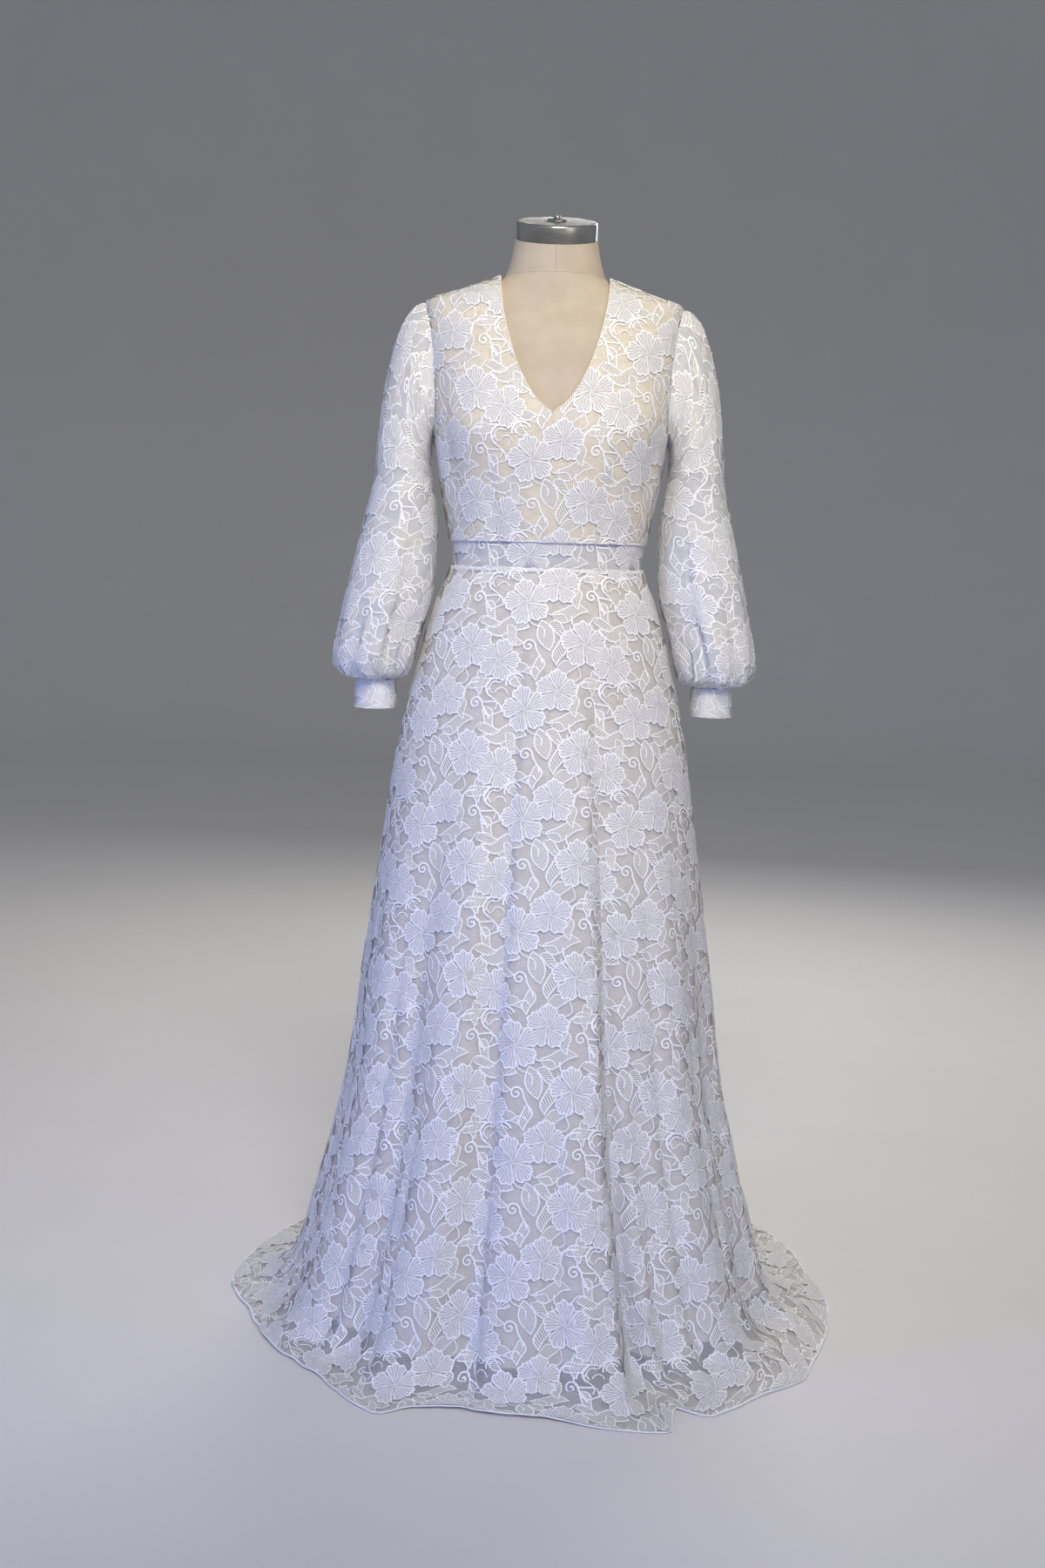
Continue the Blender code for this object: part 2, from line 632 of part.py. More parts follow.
def lining(angle, level):
    """A point on the lining's outer face, which leaves the lace below the waist."""
    free = np.clip(-level / LINING_FREE, 0.0, 1.0)
    depth = LINING_SEAM + (LINING_DEPTH - LINING_SEAM) * free
    return skirt(angle, level) - normals(skirt, angle, level) * depth[..., None]


def make_skirt(lace, satin):
    """The lace skirt, which lies out over the floor, and its shorter lining."""
    for name, first, last, shift in panel_names("skirt"):
        angles = skirt_angles(first, last)
        cloth_panel(name, skirt, angles, SKIRT_LEVELS, 0.0, LACE_WALL, lace, shift)
    for name, first, last, shift in panel_names("lining"):
        angles = skirt_angles(first, last)
        cloth_panel(name, lining, angles, LINING_LEVELS, -LINING_WALL, 0.0, satin, shift)


def mirrored_wall(name, surface, around, rows, inner, outer, finish, sign):
    """A tube of cloth on either side of the body, worked out for the wearer's left."""
    around, rows = np.meshgrid(around, rows)
    points = surface(around, rows).reshape(-1, 3)
    directions = normals(surface, around, rows).reshape(-1, 3)
    quads = grid_quads(*around.shape, closed=True)
    mirror = np.array([sign, 1.0, 1.0])
    if sign < 0:
        quads = quads[:, ::-1]
    return cloth_wall(name, points * mirror, directions * mirror, quads, inner, outer, finish)


def cuff(around, drop):
    """A point on the cuff's inner face: the sleeve's last oval, a little wider below."""
    turn = np.radians(around)
    _, centre_x, centre_y, half_width, half_depth, _ = SLEEVE[-1]
    wider = 1 + (CUFF_FLARE - 1) * drop
    height = CUFF_TOP + (CUFF_BOTTOM - CUFF_TOP) * drop
    x = centre_x + (half_width - CUFF_WALL) * wider * np.cos(turn)
    y = centre_y - (half_depth - CUFF_WALL) * wider * np.sin(turn)
    return np.stack(np.broadcast_arrays(x, y, height), axis=-1)


def make_sleeves(lace, cuff_lace):
    """The two bishop sleeves and the cuffs that they are gathered into."""
    around = np.arange(SLEEVE_AROUND) * 360.0 / SLEEVE_AROUND
    rows = np.concatenate([SLEEVE_HEAD_STEPS, np.arange(1.0, len(SLEEVE) + 1)])
    cuff_around = np.arange(CUFF_AROUND) * 360.0 / CUFF_AROUND
    for side, sign in SIDES:
        name = f"sleeve_{side}"
        mirrored_wall(name, sleeve, around, rows, -LACE_WALL, 0.0, lace, sign)
        name = f"cuff_{side}"
        mirrored_wall(name, cuff, cuff_around, CUFF_DROPS, 0.0, CUFF_WALL, cuff_lace, sign)


def solid_of_rings(name, rings, finish):
    """A closed solid through rings of points, from the bottom up, with flat ends."""
    rings = np.asarray(rings, float)
    rows, around = rings.shape[:2]
    quads = grid_quads(rows, around, closed=True).tolist()
    bottom = list(range(around))[::-1]
    top = list(range((rows - 1) * around, rows * around))
    return add_object(name, rings.reshape(-1, 3), [*quads, bottom, top], finish)


def make_torso(finish):
    """The limbless form: the body's sections a little inside the cloth, and a neck."""
    around = np.arange(TORSO_AROUND) * 360.0 / TORSO_AROUND
    angle, height = np.meshgrid(around, TORSO_HEIGHTS)
    angle = (angle + 180.0) % 360.0 - 180.0
    inside = read(BODY, BODY_COLUMNS, "ease", height)[..., None]
    points = body(angle, height) - normals(body, angle, height) * inside
    lean = np.clip((points[..., 2] - NECK_LEAN) / (NECK_TOP - NECK_LEAN), 0.0, 1.0)
    points[..., 2] += math.tan(CAP_TILT) * (points[..., 1] - NECK_FORWARD) * lean
    points[0, :, 2] = TORSO_BOTTOM
    solid_of_rings("form_torso", points, finish)


def turned_solid(name, profile, sides, finish):
    """A profile of (radius, height) points spun once round the upright axis."""
    mesh = bpy.data.meshes.new(name)
    shape = bmesh.new()
    line = [shape.verts.new((radius, 0.0, height)) for radius, height in profile]
    edges = [shape.edges.new(pair) for pair in zip(line[:-1], line[1:])]
    bmesh.ops.spin(
        shape,
        geom=line + edges,
        cent=(0, 0, 0),
        axis=(0, 0, 1),
        angle=math.tau,
        steps=sides,
    )
    bmesh.ops.remove_doubles(shape, verts=shape.verts, dist=1e-6)
    bmesh.ops.recalc_face_normals(shape, faces=shape.faces)
    shape.to_mesh(mesh)
    shape.free()
    mesh.materials.append(finish)
    mesh.shade_smooth()
    mesh.set_sharp_from_angle(angle=SHARP_EDGE)
    made = bpy.data.objects.new(name, mesh)
    bpy.context.collection.objects.link(made)
    return made


def make_cap(finish):
    """The polished cap on the neck, tilted forwards with it, and its small knob."""
    profile = (
        (0.0, 0.0),
        (CAP_RADIUS, 0.0),
        (CAP_RADIUS, CAP_HEIGHT - 0.0025),
        (CAP_RADIUS - 0.0009, CAP_HEIGHT - 0.0008),
        (CAP_RADIUS - 0.0030, CAP_HEIGHT),
        (0.0135, CAP_HEIGHT + 0.0008),
        (0.0130, CAP_HEIGHT + 0.0030),
        (0.0050, CAP_HEIGHT + 0.0036),
        (0.0045, CAP_HEIGHT + 0.0070),
        (0.0, CAP_HEIGHT + 0.0078),
    )
    cap = turned_solid("neck_cap", profile, CAP_AROUND, finish)
    seat = Matrix.Translation((0.0, NECK_FORWARD, NECK_TOP + EDGE_GAP))
    cap.matrix_world = seat @ Matrix.Rotation(CAP_TILT, 4, "X")


def make_stand(finish):
    """The round foot on the floor and the pole that carries the form."""
    foot = (
        (0.0, 0.0),
        (FOOT_RADIUS, 0.0),
        (FOOT_RADIUS, FOOT_HEIGHT - 0.004),
        (FOOT_RADIUS - 0.004, FOOT_HEIGHT),
        (HUB_RADIUS, FOOT_HEIGHT + 0.002),
        (HUB_RADIUS, HUB_TOP),
        (0.0, HUB_TOP),
    )
    turned_solid("stand_base", foot, FOOT_AROUND, finish)
    flange_top = TORSO_BOTTOM - EDGE_GAP
    pole = (
        (0.0, HUB_TOP + EDGE_GAP),
        (POLE_RADIUS, HUB_TOP + EDGE_GAP),
        (POLE_RADIUS, flange_top - FLANGE_HEIGHT - 0.004),
        (FLANGE_RADIUS, flange_top - FLANGE_HEIGHT),
        (FLANGE_RADIUS, flange_top),
        (0.0, flange_top),
    )
    turned_solid("stand_pole", pole, POLE_AROUND, finish)


def main():
    clear_scene()
    finishes = {name: material(name) for name in FINISHES}
    make_bodice(finishes["bodice_lace"])
    make_band(finishes["lace"])
    make_skirt(finishes["lace"], finishes["lining"])
    make_sleeves(finishes["lace"], finishes["cuff_lace"])
    make_torso(finishes["form_cloth"])
    make_cap(finishes["chrome"])
    make_stand(finishes["stand_metal"])


main()
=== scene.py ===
# %% [markdown]
# # A lace wedding dress on a dress form
#
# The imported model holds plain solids: a bodice, a waist strip, a skirt with its
# lining, two bishop sleeves with cuffs, and the dress form inside. This file
# dresses them. Each cloth is a thin sheet on its solid's form, and the lace is
# built the way that real lace is: a fine net as the ground, with flowers, leaves
# and curls of thicker thread laid on it as small pieces of their own.

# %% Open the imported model
import math
from functools import partial

import bpy
import numpy as np
from mathutils import Matrix, Vector


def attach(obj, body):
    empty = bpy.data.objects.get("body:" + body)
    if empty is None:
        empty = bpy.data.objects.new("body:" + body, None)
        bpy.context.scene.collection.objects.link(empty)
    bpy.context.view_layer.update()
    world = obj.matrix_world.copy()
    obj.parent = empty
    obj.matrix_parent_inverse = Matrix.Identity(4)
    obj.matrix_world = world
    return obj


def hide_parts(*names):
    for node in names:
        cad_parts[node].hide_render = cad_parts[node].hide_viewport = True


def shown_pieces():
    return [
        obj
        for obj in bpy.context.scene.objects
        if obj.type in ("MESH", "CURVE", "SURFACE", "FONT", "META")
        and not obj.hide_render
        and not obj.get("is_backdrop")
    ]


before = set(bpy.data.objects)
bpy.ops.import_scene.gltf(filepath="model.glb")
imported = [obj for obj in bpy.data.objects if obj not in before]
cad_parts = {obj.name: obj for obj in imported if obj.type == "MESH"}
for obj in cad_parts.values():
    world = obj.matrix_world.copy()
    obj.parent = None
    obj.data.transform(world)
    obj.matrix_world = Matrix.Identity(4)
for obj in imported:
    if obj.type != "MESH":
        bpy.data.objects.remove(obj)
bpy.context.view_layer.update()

# %% [markdown]
# ## The sizes that the garment was cut from
#
# The solids were worked out from short tables of sections, and the sheets must lie
# on them, so the same tables are repeated here. A table is kept as named columns.
# In a table of sections or folds, the first is what the others are looked up by.

# %% Tables of sections


def table(text):
    """Named columns from a text: a line of names, then a line for each row."""
    names, *rows = (line.split() for line in text.strip().splitlines())
    return dict(zip(names, np.array(rows, float).T))


BODY = table("""
    height half_width front back squareness ease
    0.8 0.172 0.118 0.138 2 0.008
    0.89 0.184 0.132 0.145 2 0.008
    0.98 0.165 0.121 0.123 2 0.009
    1.03 0.151 0.112 0.108 2 0.01
    1.078 0.1352 0.102 0.092 2 0.009
    1.113 0.138 0.106 0.094 2 0.007
    1.16 0.147 0.113 0.098 2.1 0.006
    1.22 0.158 0.122 0.103 2.2 0.006
    1.27 0.165 0.124 0.106 2.3 0.006
    1.33 0.17 0.113 0.106 2.4 0.005
    1.38 0.174 0.098 0.102 2.3 0.005
    1.42 0.177 0.083 0.09 2 0.005
    1.443 0.178 0.074 0.079 1.7 0.006
    1.4625 0.127 0.07 0.07 1.7 0.006
    1.482 0.0765 0.067 0.062 1.9 0.005
    1.495 0.069 0.065 0.056 2 0.003
    1.51 0.064 0.064 0.052 2 0.002
    1.534 0.0585 0.063 0.05 2 0.001
""")
BUST_HEIGHT, BUST_ANGLE, BUST_SPREAD = 1.262, 37.0, 21.0
BUST_RISE, BUST_FULLNESS, BUST_SIDEWAYS = 0.040, 0.011, 0.4
NECK_EDGE = table("""
    height half_width
    1.287 0
    1.299 0.016
    1.3145 0.029
    1.34 0.0435
    1.368 0.055
    1.41 0.0668
    1.448 0.0735
    1.482 0.0765
""")
SIDE_AND_ARMHOLE = table("""
    step angle height
    0 90 1.1125
    1 90 1.146
    2 90 1.18
    3 90 1.215
    4 90 1.25
    5 77 1.272
    6 72 1.312
    7 71 1.36
    8 76 1.41
    9 90 1.443
""")
SKIRT = table("""
    height half_width front back
    0 0.344 0.366 0.43
    0.08 0.327 0.35 0.406
    0.142 0.314 0.336 0.386
    0.195 0.2995 0.322 0.367
    0.248 0.2875 0.308 0.35
    0.354 0.266 0.281 0.317
    0.51 0.248 0.24 0.268
    0.66 0.2275 0.202 0.222
    0.79 0.2105 0.17 0.184
    0.89 0.1915 0.145 0.156
    0.98 0.17 0.128 0.132
    1.03 0.154 0.116 0.113
    1.055 0.143 0.108 0.101
    1.078 0.1352 0.102 0.092
""")
HEM = table("""
    angle reach
    -180 0.62
    -165 0.605
    -150 0.56
    -138 0.512
    -127 0.481
    -107 0.449
    -91 0.438
    -79 0.41
    -62 0.4
    -46 0.412
    -34 0.438
    -25.5 0.46
    -22 0.424
    -8 0.41
    3 0.412
    14 0.455
    23.5 0.49
    28.5 0.424
    32 0.47
    46 0.452
    55 0.466
    63 0.452
    80 0.444
    102 0.449
    115 0.485
    124 0.499
    133 0.54
    150 0.585
    165 0.612
    180 0.62
""")
SLEEVE = table("""
    row height centre_x centre_y half_width half_depth gather
    1 1.2 0.207 0 0.0395 0.055 0
    2 1.15 0.209 -0.002 0.0495 0.058 0
    3 1.08 0.2165 -0.005 0.0585 0.062 0
    4 1.03 0.2243 -0.008 0.0612 0.066 0.0008
    5 0.985 0.235 -0.01 0.059 0.069 0.0018
    6 0.955 0.2412 -0.012 0.0572 0.07 0.0026
    7 0.935 0.2432 -0.013 0.0532 0.066 0.0032
    8 0.922 0.2412 -0.014 0.046 0.057 0.0034
    9 0.9155 0.24 -0.014 0.035 0.043 0.0024
    10 0.915 0.24 -0.014 0.0275 0.035 0.0012
""")
WAIST_SEAM, BAND_TOP, BODICE_HEM = 1.0780, 1.1180, 1.1125
SHOULDER_TIP, NECK_POINT, BACK_NECK, NECK_HALF_WIDTH = 1.443, 1.482, 1.462, 0.0765
CUFF_TOP, CUFF_BOTTOM, CUFF_FLARE = 0.9144, 0.8730, 1.05
CUFF_X, CUFF_Y, CUFF_WALL_THICKNESS = 0.2400, -0.014, 0.0020
CUFF_HALF_WIDTH, CUFF_HALF_DEPTH = 0.0275 - CUFF_WALL_THICKNESS, 0.0350 - CUFF_WALL_THICKNESS
ARMHOLE_OUT = 0.0024
TORSO_BOTTOM, NECK_LEAN, NECK_TOP, NECK_FORWARD = 0.800, 1.490, 1.534, -0.007
CAP_TILT = math.radians(16)

# %% [markdown]
# ## Folds and creases
#
# A skirt cut as a flared panel falls in rolls, the folds that stand out, with
# valleys between them. The skirt's wide ones are in the solids too, a little less
# deep. Its narrow ones, the sharp creases lower in its table, are here alone, and so
# are the bodice's darts and the sleeves' folds. Each was placed with its own length,
# depth and distance to the next, because evenly spaced creases look like a
# machine-made pleat.

# %% The folds of the skirt, the bodice and the sleeves
FOLDS = table("""
    angle swing spread push start growth
    -172 4 7 0.02 0.85 0.9
    -157 3 5 -0.016 0.9 0.9
    -140 5 9 0.022 0.8 0.9
    -121 5 5.5 -0.016 0.7 0.9
    -101 3 8 0.013 0.75 0.9
    -79 2 6 -0.013 0.7 0.9
    -60 6 8.5 0.014 0.85 0.9
    -43 5 4.5 -0.019 0.8 0.9
    -29 6 7 0.019 0.92 0.9
    -15.5 2 4 -0.021 0.95 0.9
    -3 0 5 0.008 0.6 0.9
    13.5 -5 9 0.02 0.95 0.9
    25 -5 3.5 -0.024 0.93 0.9
    29 -4 2.6 0.008 0.42 0.9
    33.5 -6 3 -0.015 0.45 0.9
    50 -6 9 0.02 0.85 0.9
    70 -4 5 -0.013 0.7 0.9
    88 -2 7 0.011 0.75 0.9
    107 -3 5.5 -0.015 0.75 0.9
    125 -5 9 0.022 0.8 0.9
    144 -3 5 -0.016 0.9 0.9
    161 -3 8 0.02 0.8 0.9
    176 0 5 -0.012 0.85 0.9
    -166 3 1.9 -0.009 0.62 0.55
    -149 4 1.6 -0.008 0.48 0.55
    -130 5 2.1 -0.01 0.7 0.55
    -112 4 1.7 -0.008 0.4 0.55
    -88 2 2 -0.009 0.55 0.55
    -69 4 1.5 -0.008 0.66 0.55
    -52 6 1.8 -0.011 0.62 0.55
    -47 6 1.6 0.007 0.5 0.55
    -36 6 1.5 -0.009 0.44 0.55
    -23 4 1.7 0.007 0.85 0.55
    -12 2 1.8 -0.012 0.98 0.55
    2 -1 2 0.007 0.4 0.55
    8 -3 1.7 -0.007 0.6 0.55
    20 -5 1.6 0.008 0.92 0.55
    26 -5 1.5 -0.013 0.95 0.55
    42 -6 1.8 -0.01 0.7 0.55
    60 -5 1.7 -0.009 0.54 0.55
    79 -3 1.9 0.008 0.58 0.55
    98 -3 1.7 -0.008 0.5 0.55
    116 -4 2 -0.01 0.66 0.55
    134 -4 1.6 -0.008 0.42 0.55
    153 -3 1.9 -0.009 0.74 0.55
    170 -1 1.6 -0.008 0.55 0.55
""")
FLOOR_BEND, LEAST_POOL, FOLD_FADE = 0.026, 0.02, 0.045
RIPPLE, RIPPLE_PEAK = 0.55, 0.03
DARTS = table("""
    angle low high spread push
    -31 1.06 1.238 2.6 -0.0034
    31 1.06 1.24 2.6 -0.0034
    -58 1.12 1.33 6 -0.003
    60 1.13 1.31 6 -0.0026
    -70 1.16 1.29 3 0.0016
    150 1.06 1.3 3 -0.0026
    -150 1.06 1.3 3 -0.0026
    118 1.14 1.36 6 -0.0018
    -118 1.12 1.34 6 -0.002
""")
SLEEVE_FOLDS = table("""
    around low high spread push
    122 2 8.5 12 -0.008
    100 3.4 8.2 8 0.0052
    64 3.6 8.6 8 -0.0062
    36 4.4 8.6 7 -0.0058
    12 4.9 8.5 8 0.003
    150 4.2 8.6 8 0.0046
    -22 4.8 8.5 8 -0.004
    -50 4.2 8.4 9 0.0036
    -78 3.8 8.5 8 -0.0044
    -112 4.6 8.6 9 0.003
    -144 3.6 8.4 9 -0.0048
    176 4.2 8.5 8 -0.003
    110 1.5 7.6 4.5 -0.0055
    78 3 8.6 4 -0.005
    51 4.8 8.6 3.6 -0.0046
    134 4.2 8.6 4 -0.0046
    -63 3.6 8.6 4 -0.0044
    -126 4.4 8.6 4 -0.0044
""")
GATHERS, GATHER_DRIFT = 9, 0.7
FINE_GATHERS, FINE_DRIFT, FINE_DEPTH = 19, 1.4, 0.0021
print(len(FOLDS["angle"]), "skirt folds,", 2 * len(SLEEVE_FOLDS["around"]), "sleeve folds")

# %% [markdown]
# ## Surfaces as functions
#
# A cloth here is a function of two numbers, such as the angle round the body and
# the height. The function takes whole arrays of them and gives whole arrays of
# points, so no loop ever visits single vertices.

# %% Curves through a table, and the body


def through(keys, values, at):
    """Smooth curve through points: at each point the slope is the harmonic mean of
    the slopes on its two sides (zero where they differ in sign), and cubic arcs
    join the points, so the curve never swings past them."""
    at = np.clip(np.asarray(at, float), keys[0], keys[-1])
    span = np.diff(keys)
    slope = np.diff(values) / span
    before, after = slope[:-1], slope[1:]
    same = before * after > 0
    inner = np.where(same, 2 * before * after / np.where(same, before + after, 1.0), 0.0)
    tangent = np.concatenate([slope[:1], inner, slope[-1:]])
    i = np.clip(np.searchsorted(keys, at, side="right") - 1, 0, len(span) - 1)
    t = (at - keys[i]) / span[i]
    rise = values[i + 1] - values[i]
    start, end = tangent[i] * span[i], tangent[i + 1] * span[i]
    square, cube = 3 * rise - 2 * start - end, start + end - 2 * rise
    return values[i] + start * t + square * t**2 + cube * t**3


def read(columns, name, at):
    """A named column read at any value of the table's first column."""
    return through(next(iter(columns.values())), columns[name], at)


def joined(*parts):
    """Coordinates, or other parts, joined as the last axis of one array."""
    return np.stack(np.broadcast_arrays(*parts), axis=-1)


def bell(away, spread):
    """The soft bell exp(-(away / spread)^2)."""
    return np.exp(-((away / spread) ** 2))


def power(value, exponent):
    """A power that keeps the sign of the value."""
    return np.sign(value) * np.abs(value) ** exponent


def bumps(rows, across, down):
    """Sum of long soft folds: each is its push, times a bell across it, times a
    smooth rise and fall between its two ends."""
    first = next(iter(rows.values()))
    away = (np.asarray(across)[..., None] - first + 180.0) % 360.0 - 180.0
    length = rows["high"] - rows["low"]
    share = np.clip((np.asarray(down)[..., None] - rows["low"]) / length, 0.0, 1.0)
    return np.sum(rows["push"] * bell(away, rows["spread"]) * np.sin(np.pi * share) ** 1.5, axis=-1)


def front_or_back(sections, turn, height):
    """A section's depth, from the middle to the front or to the back."""
    front, back = read(sections, "front", height), read(sections, "back", height)
    return np.where(np.cos(turn) > 0, front, back)


def body(angle, height):
    """Rounded section at each height: x = width * sin(angle)^e and y = -depth *
    cos(angle)^e, with the bust's bell added and the darts pressed in."""
    turn = np.radians(angle)
    exponent = 2 / read(BODY, "squareness", height)
    depth = front_or_back(BODY, turn, height)
    rise = bell(height - BUST_HEIGHT, BUST_RISE)
    bust = BUST_FULLNESS * rise * bell(np.abs(angle) - BUST_ANGLE, BUST_SPREAD)
    x = (read(BODY, "half_width", height) + BUST_SIDEWAYS * bust) * power(np.sin(turn), exponent)
    y = -(depth + bust) * power(np.cos(turn), exponent)
    pressed = 1 + bumps(DARTS, angle, height) / np.hypot(x, y)
    return joined(x * pressed, y * pressed, height)


def angle_at(half_width, height):
    """The angle at which the body's section is a given distance from the middle."""
    share = np.clip(half_width / read(BODY, "half_width", height), 0.0, 1.0)
    return np.degrees(np.arcsin(share ** (read(BODY, "squareness", height) / 2)))


def normals(surface, across, down):
    """Unit normals: the cross product of a small step across and a small step up."""
    step = 1e-3
    sideways = surface(across + step, down) - surface(across - step, down)
    upwards = surface(across, down + step) - surface(across, down - step)
    normal = np.cross(sideways, upwards)
    return normal / np.linalg.norm(normal, axis=-1)[..., None]


print("waist", np.round(body(np.array([0.0, 90.0, 180.0]), WAIST_SEAM), 3).tolist())

# %% The skirt and the sleeve


def skirt_folds(angle, level):
    """Sum of the folds: push * (way down)^growth * a bell round the fold's line."""
    height = WAIST_SEAM * (1 + np.clip(level, -1.0, 0.0))[..., None]
    centre = FOLDS["angle"] + FOLDS["swing"] * height / WAIST_SEAM
    away = (angle[..., None] - centre + 180.0) % 360.0 - 180.0
    down = np.clip((FOLDS["start"] - height) / FOLDS["start"], 0.0, 1.0)
    push = FOLDS["push"] * down ** FOLDS["growth"]
    return np.sum(push * bell(away, FOLDS["spread"]), axis=-1)


def soft_positive(value):
    """The value where it is above zero and almost nothing below, turning softly."""
    return FLOOR_BEND * np.logaddexp(0.0, value / FLOOR_BEND)


def skirt(angle, level):
    """Level 0 is the waist, -1 the floor and -2 the hem. The sections give the
    hanging part, a soft corner turns it, and the rest lies out to the hem's reach."""
    angle, level = np.broadcast_arrays(np.asarray(angle, float), np.asarray(level, float))
    turn = np.radians(angle)
    height = WAIST_SEAM * (1 + np.clip(level, -1.0, 0.0))
    depth = front_or_back(SKIRT, turn, height)
    stand_x = read(SKIRT, "half_width", height) * np.sin(turn)
    stand_y = -depth * np.cos(turn)
    radius = np.hypot(stand_x, stand_y)
    pool = np.maximum(np.interp(angle, HEM["angle"], HEM["reach"]) - radius, LEAST_POOL)
    past = np.where(level > -1.0, WAIST_SEAM * (-1 - level), pool * (-1 - level))
    lying = soft_positive(past)
    fold = skirt_folds(angle, level)
    out = lying + fold / (1.0 + (lying / FOLD_FADE) ** 2)
    far = lying / RIPPLE_PEAK
    ripple = RIPPLE * np.maximum(fold, 0.0) * far * np.exp(1 - far)
    inwards = 1 - np.clip(-1 - level, 0.0, 1.0)
    x = stand_x * (1 + out / radius)
    y = stand_y * (1 + out / radius)
    return joined(x, y, soft_positive(-past) + ripple * inwards)


def sleeve_ring(row, around):
    """Oval section: its two radii are waved by the wide gathers, by the fine ones
    near the cuff and by the listed folds."""
    turn = np.radians(around)
    ring = {name: read(SLEEVE, name, row) for name in list(SLEEVE)[1:]}
    wave = np.cos(GATHERS * turn + GATHER_DRIFT * np.sin(2 * turn))
    fine = np.cos(FINE_GATHERS * turn + FINE_DRIFT * np.sin(3 * turn))
    fine = fine * np.clip((row - 5.0) / 3.0, 0.0, 1.0) * (row < 9.5)
    push = ring["gather"] * wave + FINE_DEPTH * fine + bumps(SLEEVE_FOLDS, around, row)
    x = ring["centre_x"] + (ring["half_width"] + push) * np.cos(turn)
    y = ring["centre_y"] - (ring["half_depth"] + push) * np.sin(turn)
    return joined(x, y, ring["height"])


def armhole(around, out):
    """The armhole's edge, from the shoulder tip forwards round, lifted off the body."""
    turned = np.asarray(around, float) % 360.0
    forward = turned <= 180.0
    step = 9.0 - 5.0 * np.where(forward, turned, 360.0 - turned) / 180.0
    angle = read(SIDE_AND_ARMHOLE, "angle", step)
    height = read(SIDE_AND_ARMHOLE, "height", step)
    angle = np.where(forward, angle, 180.0 - angle)
    return body(angle, height) + normals(body, angle, height) * out


def sleeve(around, row):
    """From row 0 to 1 is the head: a cubic arc from each point of the armhole down
    into the first oval. Past 1 the rows are the ovals of the table."""
    around, row = np.broadcast_arrays(np.asarray(around, float), np.asarray(row, float))
    turn = np.radians(around)
    start, end = armhole(around, ARMHOLE_OUT), sleeve_ring(np.ones_like(around), around)
    chord = np.linalg.norm(end - start, axis=-1)[..., None]
    leave = joined(1.0, -0.25 * np.sin(turn), 0.675 * (1 + np.cos(turn)) - 1.2)
    leave = leave / np.linalg.norm(leave, axis=-1)[..., None] * chord * 0.55
    arrive = np.zeros_like(end)
    arrive[..., 2] = -chord[..., 0]
    t = np.clip(row, 0.0, 1.0)[..., None]
    head = (2 * t**3 - 3 * t**2 + 1) * start + (t**3 - 2 * t**2 + t) * leave
    head = head + (3 * t**2 - 2 * t**3) * end + (t**3 - t**2) * arrive
    return np.where(row[..., None] < 1.0, head, sleeve_ring(np.maximum(row, 1.0), around))


def cuff(around, drop):
    """Oval tube, a little wider below: drop 0 is its top and 1 its bottom edge."""
    turn = np.radians(around)
    wider = 1 + (CUFF_FLARE - 1) * drop
    x = CUFF_X + CUFF_HALF_WIDTH * wider * np.cos(turn)
    y = CUFF_Y - CUFF_HALF_DEPTH * wider * np.sin(turn)
    return joined(x, y, CUFF_TOP + (CUFF_BOTTOM - CUFF_TOP) * drop)


print("hem in front", np.round(skirt(np.array([0.0]), np.array([-2.0])), 3).tolist())

# %% [markdown]
# ## The flat cut
#
# Lace is woven flat and cut with its repeat running straight down the panel. To
# place a motif as on the real cloth, each surface is unrolled: distances are
# measured along its rows and down its columns. A skirt panel is part of a cone, so
# it unrolls into a slice of a ring, and its rows become arcs round a far point.

# %% Unroll a surface, and find a flat point on it again


def fraction(values, at):
    """Where values fall in a rising or falling list, as a fractional index."""
    sign = 1.0 if values[-1] > values[0] else -1.0
    return np.interp(sign * np.asarray(at), sign * values, np.arange(len(values)))


def sample(grid, row, column):
    """Bilinear reading of a grid at fractional rows and columns."""
    i = np.clip(row.astype(int), 0, grid.shape[0] - 2)
    j = np.clip(column.astype(int), 0, grid.shape[1] - 2)
    t, u = row - i, column - j
    upper = grid[i, j] * (1 - u) + grid[i, j + 1] * u
    lower = grid[i + 1, j] * (1 - u) + grid[i + 1, j + 1] * u
    return upper * (1 - t) + lower * t


def unroll(surface, across, down, middle, guide, cone=False):
    """Distances on a surface: along each row from its middle, and down the rows as
    the mean of the guide columns. For a cone, the far point's distance is where
    the panel's width would come down to nothing."""
    columns, rows = np.meshgrid(across, down)
    points = surface(columns, rows)
    run = np.linalg.norm(np.diff(points, axis=1), axis=-1)
    side = np.concatenate([np.zeros((len(down), 1)), np.cumsum(run, axis=1)], axis=1)
    at = np.arange(len(down), dtype=float)
    side = side - sample(side, at, np.full(len(down), fraction(across, middle)))[:, None]
    chosen = (across >= guide[0]) & (across <= guide[1])
    drop = np.linalg.norm(np.diff(points, axis=0), axis=-1)[:, chosen].mean(axis=1)
    length = np.concatenate([[0.0], np.cumsum(drop)])
    width = side[:, -1] - side[:, 0]
    half = len(down) // 2
    apex = width[0] * length[half] / (width[half] - width[0]) if cone else None
    evenly = np.linspace(0.0, 1.0, 4 * len(across))
    shares = (side - side[:, :1]) / width[:, None]
    back = np.array([np.interp(evenly, share, across) for share in shares])
    cut = dict(surface=surface, across=across, down=down, side=side)
    return cut | dict(length=length, apex=apex, back=back)


